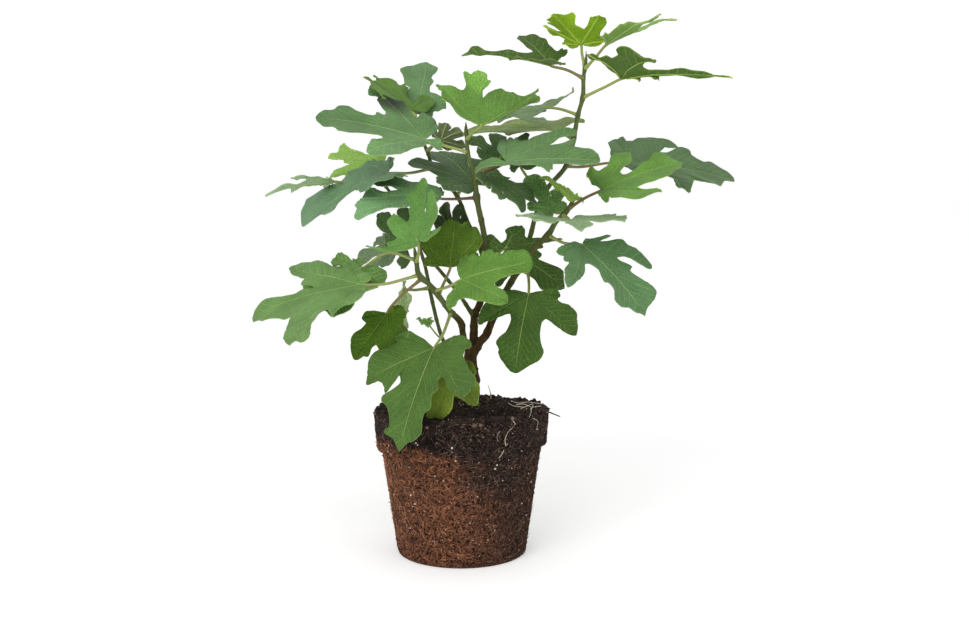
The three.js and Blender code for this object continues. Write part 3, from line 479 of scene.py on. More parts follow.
# The paper that makes the floor and the backdrop, in millimetres, and the lights, in metres.
PAPER_REACH = 5000
PAPER_HALF_WIDTH = 6000
SWEEP_START = 2700
SWEEP_RADIUS = 700
SWEEP_STEPS = 17
KEY_PLACE = (-0.45, -1.15, 1.25)
KEY_SIZE = 1.0
FILL_PLACE = (1.0, -0.9, 0.7)
FILL_SIZE = 0.9
LIGHT_AIM = (0, 0, 0.25)


def point_at(places):
    """The points on the sight lines through the seen places (right, down, depth): the line from the eye is
    followed until it reaches the depth."""
    places = np.asarray(places, float)
    sight = (FOCAL_LENGTH * VIEW_AHEAD + (places[..., :1] - PICTURE_CENTRE[0]) * VIEW_RIGHT
             + (PICTURE_CENTRE[1] - places[..., 1:2]) * VIEW_UP)
    return EYE + sight * ((places[..., 2:3] - EYE[1]) / sight[..., 1:2])


def seen_at(points):
    """Where points are seen, as (right, down): their offsets across and up, times the focal length over the
    distance ahead."""
    ray = points - EYE
    scale = FOCAL_LENGTH / (ray @ VIEW_AHEAD)
    return np.stack([PICTURE_CENTRE[0] + scale * (ray @ VIEW_RIGHT),
                     PICTURE_CENTRE[1] - scale * (ray @ VIEW_UP)], axis=-1)


def unit(vectors):
    """Each vector divided by its length."""
    return vectors / np.maximum(norm(vectors, axis=-1, keepdims=True), 1e-12)


def ease(part):
    """Rises smoothly from 0 at 0 to 1 at 1: three times the square less twice the cube."""
    part = np.clip(part, 0, 1)
    return part * part * (3 - 2 * part)


def smooth_curve(points, steps):
    """A centripetal Catmull-Rom curve through the points, with some steps on each span. A span blends the
    two parabolas through its own ends and the next point on either side, with knots a root of the chord
    apart."""
    points = np.asarray(points, float)
    ends = [2 * points[:1] - points[1:2], points, 2 * points[-1:] - points[-2:-1]]
    line = np.concatenate(ends)
    spans = len(line) - 3
    a, b, c, d = (line[i:i + spans, None] for i in range(4))
    knot_b = np.sqrt(norm(b - a, axis=-1, keepdims=True))
    knot_c = knot_b + np.sqrt(norm(c - b, axis=-1, keepdims=True))
    knot_d = knot_c + np.sqrt(norm(d - c, axis=-1, keepdims=True))
    knot = knot_b + (knot_c - knot_b) * np.linspace(0, 1, steps, endpoint=False)[:, None]
    from_a = a + (b - a) * knot / knot_b
    from_b = b + (c - b) * (knot - knot_b) / (knot_c - knot_b)
    from_c = c + (d - c) * (knot - knot_c) / (knot_d - knot_c)
    first = from_a + (from_b - from_a) * knot / knot_c
    second = from_b + (from_c - from_b) * (knot - knot_b) / (knot_d - knot_b)
    curve = first + (second - first) * (knot - knot_b) / (knot_c - knot_b)
    return np.concatenate([curve.reshape(-1, points.shape[1]), points[-1:]])


def length_along(line):
    """How long a line is from its start to each of its points."""
    return np.concatenate([[0], np.cumsum(norm(np.diff(line, axis=0), axis=1))])


def evenly_along(line, count):
    """The line's points at equal steps of its length."""
    length = length_along(line)
    steps = np.linspace(0, length[-1], count)
    return np.stack([np.interp(steps, length, line[:, i]) for i in range(line.shape[1])], axis=1)


def lattice_noise(points, size, seed):
    """Smooth noise from -1 to 1: mixed whole numbers give a value at each corner of a lattice of cubes,
    and a quintic step blends the eight corners round a point."""
    place = np.asarray(points, float) / size
    cell = np.floor(place).astype(np.int64)
    part = place - cell
    blend = part ** 3 * (part * (part * 6 - 15) + 10)
    total = np.zeros(place.shape[:-1])
    for corner in np.ndindex(2, 2, 2):
        x, y, z = np.moveaxis(cell + corner, -1, 0)
        mixed = (x * 73856093) ^ (y * 19349663) ^ (z * 83492791) ^ (seed * 6542989)
        mixed = ((mixed ^ (mixed >> 13)) * 1274126177) & 0xFFFFFFFF
        value = ((mixed ^ (mixed >> 15)) & 0xFFFF) / 32767.5 - 1
        total += value * np.prod(np.where(corner, blend, 1 - blend), axis=-1)
    return total


def layered_noise(points, size, seed, layers):
    """A sum of noises: each layer has half the size and half the height of the one before."""
    return sum(lattice_noise(points, size / 2 ** i, seed + i) / 2 ** i for i in range(layers))


class Shell:
    """Points in millimetres, faces with a fourth corner of -1 where they are triangles, the material slot
    of each face, the place of every corner on the vein map, and values at the points."""

    def __init__(self, points, faces, slots=0, vein_map=None, **values):
        self.points = np.asarray(points, float)
        self.faces = np.asarray(faces)
        self.slots = np.broadcast_to(slots, len(self.faces))
        self.vein_map = np.zeros((*self.faces.shape, 2)) if vein_map is None else vein_map
        self.values = values


def joined(shells):
    """One shell with the points and faces of all; a value that a shell lacks is 0 there."""
    def every(part):
        return np.concatenate([getattr(shell, part) for shell in shells])

    starts = np.cumsum([0] + [len(shell.points) for shell in shells[:-1]])
    faces = np.concatenate([np.where(shell.faces < 0, -1, shell.faces + start)
                            for shell, start in zip(shells, starts)])
    values = {name: np.concatenate([np.broadcast_to(shell.values.get(name, 0.0), len(shell.points))
                                    for shell in shells])
              for name in sorted({name for shell in shells for name in shell.values})}
    return Shell(every("points"), faces, every("slots"), every("vein_map"), **values)


def grid_faces(rows, columns, closed):
    """The quads of a grid of points, row by row. A closed grid joins its last column to its first."""
    across = np.arange(columns if closed else columns - 1)
    row, column = np.meshgrid(np.arange(rows - 1), across, indexing="ij")
    nearby = (column + 1) % columns
    corners = [row * columns + column, row * columns + nearby,
               (row + 1) * columns + nearby, (row + 1) * columns + column]
    return np.stack(corners, axis=-1).reshape(-1, 4)


def capped_faces(rows, columns):
    """The faces of a closed grid, and a fan of triangles at either end of it round a pole. The two poles
    are the points after the grid's."""
    first, last = np.arange(columns), (rows - 1) * columns + np.arange(columns)
    pole, none = np.full(columns, rows * columns), np.full(columns, -1)
    return np.concatenate([grid_faces(rows, columns, True),
                           np.stack([pole, np.roll(first, -1), first, none], axis=1),
                           np.stack([pole + 1, last, np.roll(last, -1), none], axis=1)])


def tube(path, radii, sides, slot=0, **values):
    """A closed round tube: a ring of the given radius round each point of the path, at right angles to it,
    and a low dome at both ends."""
    path, radii = np.asarray(path, float), np.asarray(radii, float)
    tangent = unit(np.gradient(path, axis=0))
    line = np.concatenate([*(path[:1] - tangent[:1] * radii[0] * part for part in (0.5, 0.35)), path,
                           *(path[-1:] + tangent[-1:] * radii[-1] * part for part in (0.35, 0.5))])
    reach = np.concatenate([radii[:1] * 0.05, radii[:1] * 0.7, radii, radii[-1:] * 0.7, radii[-1:] * 0.05])
    tangent = np.pad(tangent, ((2, 2), (0, 0)), mode="edge")
    side = unit(np.cross(tangent, np.eye(3)[np.argmin(np.abs(tangent).max(axis=0))]))
    up = np.cross(tangent, side)
    turn = np.linspace(0, 2 * np.pi, sides, endpoint=False)[:, None]
    rings = line[:, None] + reach[:, None, None] * (np.cos(turn) * side[:, None] + np.sin(turn) * up[:, None])
    points = np.concatenate([rings.reshape(-1, 3), line[:1], line[-1:]])
    spread = {}
    for name, value in values.items():
        value = np.broadcast_to(value, len(path))
        around = np.repeat(np.pad(value, 2, mode="edge"), sides)
        spread[name] = np.concatenate([around, value[:1], value[-1:]])
    return Shell(points, capped_faces(len(line), sides), slot, **spread)


def thread(places, start, end, sides, **values):
    """A thin tube on a smooth curve through places, whose radius changes evenly."""
    line = smooth_curve(places, ROOT_STEPS)
    return tube(line, np.linspace(start, end, len(line)), sides, **values)


def make_piece(name, shell, materials, veined=False):
    """A mesh object in metres from a shell, on the plant's one body, with the vein map where it is
    veined."""
    mesh = bpy.data.meshes.new(name)
    present = shell.faces >= 0
    sizes = present.sum(axis=1)
    mesh.vertices.add(len(shell.points))
    mesh.vertices.foreach_set("co", (shell.points * MM).astype(np.float32).ravel())
    mesh.loops.add(int(sizes.sum()))
    mesh.loops.foreach_set("vertex_index", shell.faces[present].astype(np.int32))
    mesh.polygons.add(len(sizes))
    mesh.polygons.foreach_set("loop_start", (np.cumsum(sizes) - sizes).astype(np.int32))
    mesh.polygons.foreach_set("material_index", shell.slots.astype(np.int32))
    mesh.update(calc_edges=True)
    mesh.polygons.foreach_set("use_smooth", np.ones(len(sizes), bool))
    if veined:
        layer = mesh.uv_layers.new(name="vein_map")
        layer.uv.foreach_set("vector", shell.vein_map[present].astype(np.float32).ravel())
    for key, value in shell.values.items():
        attribute = mesh.attributes.new(key, "FLOAT", "POINT")
        attribute.data.foreach_set("value", value.astype(np.float32))
    mesh.validate()
    for material in materials:
        mesh.materials.append(material)
    piece = bpy.data.objects.new(name, mesh)
    bpy.context.scene.collection.objects.link(piece)
    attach(piece, BODY)
    return piece


def typical_tips(leaf):
    """The tips of the typical lobes on a blade of length 1: a sine and a cosine of each lobe's angle,
    times its length. A slim leaf has its lobes nearer the middle."""
    reach = LOBE_LENGTHS[:, None]
    return reach * np.stack([np.sin(LOBE_ANGLES) * leaf.get("slim", 1), np.cos(LOBE_ANGLES)], axis=1)


def blade_pose(leaf):
    """The plane of a blade: where its base is, how long its middle lobe is, and its axes. The typical tips
    are fitted to the seen ones by least squares. The longest seen direction gives the true size, and the
    one at right angles to it is foreshortened by the cosine of the tilt, towards the side where the upper
    face looks up."""
    origin = point_at([*leaf["base"], leaf["depth"]])
    to_eye = unit(EYE - origin)
    right = unit(VIEW_RIGHT - (VIEW_RIGHT @ to_eye) * to_eye)
    up = np.cross(to_eye, right)
    scale = (origin - EYE) @ VIEW_AHEAD / FOCAL_LENGTH
    seen = (np.array(leaf.get("fit", leaf["tips"]), float) - leaf["base"]) * [1, -1]
    seen[:, 1] -= leaf.get("rise", 0) * LOBE_LENGTHS ** 2
    axes = np.linalg.lstsq(typical_tips(leaf), seen * scale, rcond=None)[0]
    x_seen, y_seen = axes
    turn = 0.5 * np.arctan2(2 * x_seen @ y_seen, x_seen @ x_seen - y_seen @ y_seen)
    cosine, sine = np.cos(turn), np.sin(turn)
    long = x_seen * cosine + y_seen * sine
    size = norm(long)
    short = (x_seen[0] * y_seen[1] - x_seen[1] * y_seen[0]) / size
    tilt = np.cos(np.radians(leaf["tilt"])) if "tilt" in leaf else np.clip(short / size, LEAST_FLATNESS, 1)
    along = (long[0] * right + long[1] * up) / size
    face = -1 if leaf.get("under") else 1
    second = tilt * np.cross(to_eye, along) + np.sqrt(1 - tilt ** 2) * to_eye
    if (np.cross(along, second)[2] * face < 0) != bool(leaf.get("flip")):
        second = tilt * np.cross(to_eye, along) - np.sqrt(1 - tilt ** 2) * to_eye
    return {"origin": origin, "size": size, "scale": scale,
            "x": along * cosine - second * sine, "y": along * sine + second * cosine,
            "upper": np.cross(along, second) * face}


def bent(leaf, pose, flat, lift=0.0):
    """A flat place on the bent blade. It rises by the cup times the square of its distance from the base
    and by the fold times its distance from the middle, and sinks by the droop times the square of its way
    to the tip."""
    across, along = np.moveaxis(flat / pose["size"], -1, 0)
    rise = (leaf.get("cup", 0) * (across ** 2 + along ** 2) + leaf.get("fold", FOLD) * np.abs(across)
            - DROOP * np.maximum(along, 0) ** 2)
    height = rise * pose["size"] + lift
    return pose["origin"] + flat @ np.stack([pose["x"], pose["y"]]) + height[..., None] * pose["upper"]


def flat_places(leaf, pose, seen, typical):
    """The flat places that are seen at the given ones. Each round takes one damped least-squares step away
    from the typical places, with slopes measured over a millimetre of the bent blade."""
    damping = TRACED_DAMPING if "edges" in leaf else FIT_DAMPING
    def seen_flat(flat):
        return seen_at(bent(leaf, pose, flat)) * [1, -1] * pose["scale"]

    target = np.asarray(seen, float) * [1, -1] * pose["scale"]
    shift = np.zeros_like(typical)
    for _ in range(FIT_ROUNDS):
        here = seen_flat(typical + shift)
        slopes = np.stack([seen_flat(typical + shift + step) - here for step in np.eye(2)], axis=1)
        miss = target - here + np.einsum("nij,ni->nj", slopes, shift)
        normal = np.einsum("nik,njk->nij", slopes, slopes) + damping * np.eye(2)
        shift = np.linalg.solve(normal, np.einsum("nik,nk->ni", slopes, miss)[..., None])[..., 0]
    return typical + shift


def lobe_angle(places):
    return np.arctan2(places[..., 0], places[..., 1])


def lobe_tips(leaf, pose):
    """The flat places of the five tips, kept in order round the base with a least angle between
    neighbours."""
    tips = flat_places(leaf, pose, leaf["tips"], typical_tips(leaf) * pose["size"])
    angles = lobe_angle(tips)
    room = TRACED_MIN_ANGLE if "edges" in leaf else LOBE_MIN_ANGLE
    for side in (-1, 1):
        for step in (1, 2):
            k = MIDDLE_LOBE + side * step
            least = angles[k - side] * side + room
            angle = angles[k] * side
            if angle < least - np.pi:
                angle += 2 * np.pi
            most = BASAL_LIMIT - (2 - step) * room
            angles[k] = side * np.clip(angle, least, max(least, most))
    reach = norm(tips, axis=1, keepdims=True)
    return reach * np.stack([np.sin(angles), np.cos(angles)], axis=1)


def sinus_places(leaf, pose, tips):
    """The flat places of the four sinuses. A typical one lies halfway between its lobes, at a part of their
    length, and the seen ones take its place where the leaf lists them."""
    angles, lengths = lobe_angle(tips), norm(tips, axis=1)
    middle, half = (angles[1:] + angles[:-1]) / 2, (angles[1:] - angles[:-1]) / 2
    most = DEEPEST_SINUS * np.minimum(lengths[1:], lengths[:-1]) / np.cos(half)
    reach = np.minimum(SINUS_DEPTHS * (lengths[1:] + lengths[:-1]) / 2, most)
    typical = reach[:, None] * np.stack([np.sin(middle), np.cos(middle)], axis=1)
    given = [k for k, place in enumerate(leaf.get("sinuses", ())) if place]
    if not given:
        return typical
    fitted = flat_places(leaf, pose, [leaf["sinuses"][k] for k in given], typical[given])
    turn = np.clip(lobe_angle(fitted), (angles[:-1] + half * 0.12)[given], (angles[1:] - half * 0.12)[given])
    depth = np.clip(norm(fitted, axis=1), reach[given] * 0.3, most[given] * 1.4)
    typical[given] = depth[:, None] * np.stack([np.sin(turn), np.cos(turn)], axis=1)
    return typical


def traced_half(leaf, pose, seen, start, end):
    """The flat places of the seen places along a half lobe. Their typical places share out the straight line
    from start to end as the seen lengths do."""
    if not seen:
        return np.zeros((0, 2))
    ends = seen_at(bent(leaf, pose, np.stack([start, end])))
    steps = norm(np.diff(np.concatenate([ends[:1], seen, ends[1:]]), axis=0), axis=1)
    part = np.cumsum(steps)[:-1, None] / steps.sum()
    return flat_places(leaf, pose, seen, start + (end - start) * part)


def blade_margin(leaf, pose, tips, sinuses, rows, chance):
    """The margins of the ten half lobes, each from its sinus to its tip, as (10, rows, 2). A smooth curve
    runs round the whole blade through the sinuses, the traced or the typical places of each half lobe and
    the tips. Teeth are then added along it: rounded humps at uneven distances, highest on the outer half
    of the lobe."""
    size = pose["size"]
    control, corners = [np.zeros(2)], [0]
    edges = leaf.get("edges", (None,) * 10)
    for k, tip in enumerate(tips):
        length = norm(tip)
        along = tip / length
        width = LOBE_WIDTHS[k] * min(length, LONGEST_LOBE * LOBE_LENGTHS[k] * size) * leaf.get("broad", 1)
        for side in (-1, 1):
            inner = 0 <= k + side <= 4
            across = side * np.array([along[1], -along[0]])
            angle = lobe_angle(tip)
            room = abs(lobe_angle(tips[k + side]) - angle) / 2 if inner else np.pi - abs(angle) - BASE_ROOM
            start = sinuses[min(k, k + side)] if inner else np.zeros(2)
            reach = start @ along + MARGIN_STEPS * (length - start @ along)
            profile = LOBE_PROFILE["inner" if inner else "outer"]
            profile = profile * chance.uniform(*PROFILE_SPREAD, len(MARGIN_STEPS))
            most = LOBE_ROOM * reach * np.tan(room) if room < np.pi / 2 else np.inf
            half = reach[:, None] * along + np.minimum(width * profile, most)[:, None] * across
            seen = edges[2 * k + (side > 0)]
            if seen is not None:
                half = traced_half(leaf, pose, seen[::-side], start, tip)
            if side < 0:
                control.extend([*half, tip])
                corners.append(len(control) - 1)
            else:
                control.extend([*half[::-1], sinuses[k] if k < 4 else np.zeros(2)])
                corners.append(len(control) - 1)
    curve = smooth_curve(control, MARGIN_SAMPLES)
    place = np.arange(len(curve)) / MARGIN_SAMPLES
    straight = np.stack([np.interp(place, np.arange(len(control)), part)
                         for part in np.transpose(control)], axis=1)
    curve += MARGIN_SHARPNESS * (straight - curve)
    margins = []
    for h in range(10):
        half = evenly_along(curve[corners[h] * MARGIN_SAMPLES:corners[h + 1] * MARGIN_SAMPLES + 1], rows)
        margins.append(half if h % 2 == 0 else half[::-1])
    margins = np.stack(margins)
    step = norm(np.diff(margins, axis=1), axis=2)
    length = np.concatenate([np.zeros((10, 1)), np.cumsum(step, axis=1)], axis=1)
    spacing = np.clip(TOOTH_SPACING * size, *TOOTH_GAPS) * chance.uniform(0.8, 1.25, (10, 1))
    phase = (length[:, -1:] - length) / spacing
    phase += 0.35 * np.sin(phase * 1.7 + chance.uniform(0, 6, (10, 1)))
    uneven = 0.55 + 0.45 * np.sin(phase * 2.3 + chance.uniform(0, 6, (10, 1)))
    part = length / length[:, -1:]
    strength = ease((part - 0.2) / 0.4) * ease((1 - part) / 0.06) * uneven
    hump = np.abs(np.sin(np.pi * phase)) ** 0.8 - 0.55
    tangent = unit(np.gradient(margins, axis=1))
    side = np.where(np.arange(10) % 2, 1, -1)[:, None, None]
    outward = side * np.stack([tangent[..., 1], -tangent[..., 0]], axis=-1)
    traced = np.array([seen is not None for seen in edges])[:, None]
    height = np.where(traced, TRACED_TOOTH_HEIGHT * leaf.get("teeth", 1), TOOTH_HEIGHT) * size
    return margins + (height * strength * hump)[..., None] * outward


def blade_veins(tips, margins, rows, chance):
    """The midribs of the ten half lobes, from the base to the tip, as (10, rows, 2). A rib is straight but
    for a slight bow, a half sine, and for where it must bend to stay between its margins. Its points keep
    up with the margins on both sides, where the side veins that lean forwards meet it, and never turn
    back."""
    part = np.linspace(0, 1, rows)
    quick = np.minimum(part / 0.16, 1)
    veins = []
    for k, tip in enumerate(tips):
        length = norm(tip)
        along = tip / length
        across = np.array([along[1], -along[0]])
        ahead, aside = margins[2 * k:2 * k + 2] @ along, margins[2 * k:2 * k + 2] @ across
        low, high = (np.interp(part, np.maximum.accumulate(ahead[i]) / length, aside[i]) for i in (0, 1))
        keep = VEIN_ROOM * np.abs(high - low)
        inside = np.clip(0, low + keep, np.maximum(high - keep, low + keep))
        middle = np.where(high > low, inside, (low + high) / 2)
        middle *= ease(part / 0.35) * ease((1 - part) / 0.15)
        meeting = np.clip(ahead - VEIN_LEAN * np.abs(aside), 0, length)
        follow = np.maximum.accumulate(meeting, axis=1).mean(axis=0)
        reach = np.maximum.accumulate(quick * (2 - quick) * (0.8 * follow + 0.2 * part * length))
        bow = chance.uniform(-VEIN_BOW, VEIN_BOW) * length * np.sin(np.pi * part)
        bow += np.interp(reach / length, part, middle)
        veins.append(reach[:, None] * along + bow[:, None] * across)
    return np.repeat(np.stack(veins), 2, axis=0)


def welded(flat):
    """Which point each grid place becomes when places that coincide are one, and the first place of each."""
    places = np.round(flat.reshape(-1, 2), 3) + 0.0
    _, first, point = np.unique(places, axis=0, return_index=True, return_inverse=True)
    return point.ravel(), first


def without_doubles(faces):
    """The faces without the corners that coincide with the one before: a quad with one becomes a triangle,
    and one with more goes. Also gives, for each kept corner, which corner of which face it was."""
    double = faces == np.roll(faces, 1, axis=1)
    kept = ~double
    order = np.argsort(double, axis=1, kind="stable")
    packed = np.take_along_axis(faces, order, axis=1)
    packed[np.arange(4) >= kept.sum(axis=1, keepdims=True)] = -1
    fit = kept.sum(axis=1) >= 3
    return packed[fit], order[fit], fit


def face_normals(points, faces):
    """Each face's normal, as long as twice its area: the cross product of its diagonals."""
    last = np.where(faces[:, 3] < 0, faces[:, 0], faces[:, 3])
    return np.cross(points[faces[:, 2]] - points[faces[:, 0]], points[last] - points[faces[:, 1]])


def point_normals(points, faces):
    """The sum of the normals of the faces round each point, made a unit."""
    normals = np.zeros_like(points)
    each = face_normals(points, faces)
    for corner in range(4):
        there = faces[:, corner] >= 0
        np.add.at(normals, faces[there, corner], each[there])
    return unit(normals)


def blade_shell(leaf, pose, settings, chance):
    """The blade: ten half lobes, each a ruled patch from its midrib to its margin, welded along the
    midribs and along the lines from the base to the sinuses, bent as the leaf is, and given a lower face
    and a rim. The upper face sinks along the midribs and swells between the side veins, the lower face has
    the midribs as ridges, the halves of each lobe form a shallow channel, and the margin waves."""
    size = pose["size"]
    rows = int(np.clip(11 + size * ROWS_PER_MILLIMETRE, LEAST_ROWS, MOST_ROWS))
    tips = lobe_tips(leaf, pose)
    sinuses = sinus_places(leaf, pose, tips)
    margins = blade_margin(leaf, pose, tips, sinuses, rows, chance)
    veins = blade_veins(tips, margins, rows, chance)
    across = PATCH_COLUMNS[None, None, :, None]
    flat = veins[:, :, None] * (1 - across) + margins[:, :, None] * across
    columns = len(PATCH_COLUMNS)

    distance = norm(flat - veins[:, :, None], axis=-1)
    out = np.broadcast_to(PATCH_COLUMNS, distance.shape)
    part = np.broadcast_to(np.linspace(0, 1, rows)[None, :, None], distance.shape)
    along = norm(veins, axis=-1)[:, :, None]
    side_phase = (along - 0.55 * distance) / (SIDE_VEIN_SPACING * size)
    side_phase += np.where(np.arange(10) % 2, 0.5, 0.0)[:, None, None]
    swell = np.abs(np.sin(np.pi * side_phase)) ** 0.7 * np.minimum(out / 0.2, 1) * (1 - out ** 4)
    wave_phase = chance.uniform(0, 6, (10, 1, 1)) + part * chance.uniform(7, 11, (10, 1, 1))
    wave = out ** 3 * ease(part / 0.3) * np.sin(wave_phase)
    groove = np.exp(-(distance / GROOVE_WIDTH) ** 2) * (1 - 0.7 * part)
    lobe_bend = -LOBE_DROOP * chance.uniform(0.2, 1, (5,)).repeat(2)[:, None, None] * part ** 3
    lift = (settings.swell_height * 1000 * swell + settings.wave_height * 1000 * wave
            + LOBE_CHANNEL * distance * ease(part / 0.3) + lobe_bend * size - GROOVE_DEPTH * groove)

    point, first = welded(flat)
    pick = {"flat": flat.reshape(-1, 2)[first], "lift": lift.ravel()[first], "groove": groove.ravel()[first],
            "out": out.ravel()[first], "part": part.ravel()[first]}
    # Painted light and shade: the leaf's shade and its lobes' shades brighten the green where it lies lit and
    # darken it where it lies in shadow, along with the leaf's own tone.
    lobe_shades = np.array(leaf.get("shades", [1.0] * 5)).repeat(2)[:, None, None]
    shade = 1 + (lobe_shades - 1) * ease(part * 1.5)
    pick["shade"] = (np.broadcast_to(shade, distance.shape) * leaf.get("shade", 1.0)).ravel()[first]

    grid = grid_faces(rows, columns, False)
    faces = np.concatenate([grid + h * rows * columns if h % 2 else (grid + h * rows * columns)[:, ::-1]
                            for h in range(10)])
    vein_map = np.stack([side_phase, distance * VEIN_MAP_SCALE], axis=-1).reshape(-1, 2)[faces]
    packed, order, fit = without_doubles(point[faces])
    vein_map = np.take_along_axis(vein_map[fit], order[..., None], axis=1)

    middle = bent(leaf, pose, pick["flat"], pick["lift"])
    if face_normals(middle, packed).sum(axis=0) @ pose["upper"] < 0:
        packed, vein_map = turned_over(packed, vein_map)
    normals = point_normals(middle, packed)
    thickness = settings.thickness * 1000
    upper = middle + normals * thickness / 2
    ridge = settings.vein_relief * 1000 * pick["groove"]
    lower = middle - normals * (thickness / 2 + ridge)[:, None]
    count = len(middle)
    below, below_map = turned_over(packed, vein_map)
    rim, rim_map = rim_faces(packed, vein_map, count)
    girth = np.clip(size / FULL_VEIN_SIZE, 0.45, 1.0)
    values = {"taper": np.tile(1 - 0.72 * pick["part"], 2) * girth, "shade": np.tile(pick["shade"], 2),
              "margin": np.tile(pick["out"], 2), "lower_face": np.repeat([0.0, 1.0], count),
              # blue: the leaf's own hue together with a painted sky reflection.
              "blue": np.full(2 * count, leaf.get("blue", 1.0))}
    return Shell(np.concatenate([upper, lower]),
                 np.concatenate([packed, np.where(below < 0, -1, below + count), rim]),
                 0, np.concatenate([vein_map, below_map, rim_map]), **values)


def turned_over(faces, vein_map):
    """The same faces seen from the other side: three corners are reversed in a triangle and four in a
    quad."""
    triangle = faces[:, 3] < 0
    order = np.where(triangle[:, None], [2, 1, 0, 3], [3, 2, 1, 0])
    return np.take_along_axis(faces, order, axis=1), np.take_along_axis(vein_map, order[..., None], axis=1)


def rim_faces(faces, vein_map, count):
    """Quads from the boundary edges of the upper face to the same edges of the lower one."""
    last = np.where(faces[:, 3:] < 0, 2, 3)
    following = (np.arange(4) + 1) % (last + 1)
    real = faces >= 0
    start, end = faces[real], np.take_along_axis(faces, following, axis=1)[real]
    start_map = vein_map[real]
    end_map = np.take_along_axis(vein_map, following[..., None], axis=1)[real]
    total = int(max(start.max(), end.max())) + 1
    boundary = ~np.isin(start * total + end, end * total + start)
    a, b, a_map, b_map = start[boundary], end[boundary], start_map[boundary], end_map[boundary]
    return np.stack([b, a, a + count, b + count], axis=1), np.stack([b_map, a_map, a_map, b_map], axis=1)


def petiole_shell(leaf, pose, slot):
    """The petiole: a tube on a smooth curve from inside the blade's base to the middle of its stem, a little
    thicker at the blade and flared where it leaves the stem."""
    end = stem_point_near(leaf["stem"], leaf["petiole"][-1])
    inside = bent(leaf, pose, np.array([0.0, PETIOLE_INSET]), np.array(-0.3))
    outside = bent(leaf, pose, np.array([0.0, -1.0]), np.array(-0.8))
    inner = leaf["petiole"][:-1]
    depths = leaf["depth"] + (end[1] - leaf["depth"]) * np.arange(1, len(inner) + 1) / len(leaf["petiole"])
    bends = point_at([(*place, depth) for place, depth in zip(inner, depths)]).reshape(-1, 3)
    path = smooth_curve([inside, outside, *bends, end], PETIOLE_STEPS)
    left = norm(path - end, axis=1)
    done = norm(path - inside, axis=1)
    radii = np.interp(np.linspace(0, 1, len(path)), [0, 1], PETIOLE_RADII)
    radii = radii * (1 + 0.5 * np.exp(-(left / 5) ** 2) + 0.15 * np.exp(-(done / 4) ** 2))
    radii = np.minimum(radii, 0.35 + done * 0.35)
    return tube(path, radii, PETIOLE_SIDES, slot, red=leaf.get("red", 0.0))


def stem_line(name):
    """A stem's centre line and its radii, at fine steps."""
    places = np.array(STEMS[name], float)
    line = smooth_curve(point_at(places[:, :3]), STEM_STEPS)
    radii = np.interp(np.linspace(0, len(places) - 1, len(line)), np.arange(len(places)), places[:, 3])
    return line, radii


def stem_point_near(name, seen):
    """The point of a stem's centre line that is seen nearest to a seen place."""
    line, _ = stem_line(name)
    return line[np.argmin(norm(seen_at(line) - seen, axis=1))]


def stem_shells(settings, chance):
    """All the stems as tubes. A bell curve swells a stem where a petiole leaves it, and narrower ones
    ring it with old leaf scars at uneven steps, but for its end."""
    shells = []
    for name in STEMS:
        line, radii = stem_line(name)
        length = length_along(line)
        nodes = [stem_point_near(name, leaf["petiole"][-1]) for leaf in LEAVES if leaf["stem"] == name]
        at = [length[np.argmin(norm(line - node, axis=1))] for node in nodes]
        scars = np.cumsum(chance.uniform(*SCAR_GAPS, int(length[-1] / np.mean(SCAR_GAPS))))
        swollen = np.ones(len(line))
        for place in at:
            swollen += settings.node_swelling * np.exp(-((length - place) / NODE_REACH) ** 2)
        for place in scars[scars < length[-1] * SCARRED_PART]:
            swollen += SCAR_HEIGHT * np.exp(-((length - place) / SCAR_REACH) ** 2)
        shells.append(tube(line, radii * swollen, STEM_SIDES))
    return shells


def remeshed(shell, cell):
    """The shell's outer surface as one skin: a voxel remesh with the given cell, read back as points and
    quads."""
    rough = make_piece("rough_stems", shell, [])
    skin = rough.modifiers.new("Skin", "REMESH")
    skin.mode = "VOXEL"
    skin.voxel_size = cell * MM
    smooth = rough.modifiers.new("Smooth", "SMOOTH")
    smooth.iterations = 4
    bpy.context.view_layer.update()
    mesh = rough.evaluated_get(bpy.context.evaluated_depsgraph_get()).to_mesh()
    points = np.empty(len(mesh.vertices) * 3, np.float32)
    mesh.vertices.foreach_get("co", points)
    corners = np.empty(len(mesh.loops), np.int32)
    mesh.loops.foreach_get("vertex_index", corners)
    old = rough.data
    bpy.data.objects.remove(rough)
    bpy.data.meshes.remove(old)
    return points.reshape(-1, 3) / MM, corners.reshape(-1, 4)


def bark_shell(settings, chance):
    """The stems as one skin with bark: raised and sunken by layered noise drawn out along them. Each point
    also holds its age, 1 in the thick old wood and 0 in the green ends, taken from the nearest centre
    line."""
    points, faces = remeshed(joined(stem_shells(settings, chance)), settings.skin_cell * 1000)
    lines, ages = [], []
    for name in STEMS:
        line, radii = stem_line(name)
        age = np.clip((radii - GREEN_RADIUS) / (WOODY_RADIUS - GREEN_RADIUS), 0, 1)
        lines.append(line)
        ages.append(age * ease((430 - line[:, 2]) / 60))
    lines, ages = np.concatenate(lines), np.concatenate(ages)
    nearest = np.concatenate([np.argmin(((part[:, None] - lines) ** 2).sum(axis=2), axis=1)
                              for part in np.array_split(points, len(points) // 4000 + 1)])
    age = ages[nearest]
    drawn = points * [1, 1, 0.35]
    relief = 0.3 * layered_noise(drawn, 2.6, 11, 3) + 0.25 * layered_noise(points, 7, 21, 2)
    relief *= 0.15 + 0.85 * age
    normals = point_normals(points, faces)
    points = points + normals * (relief * settings.bark_relief * 1000)[:, None]
    return Shell(points, faces, age=age)


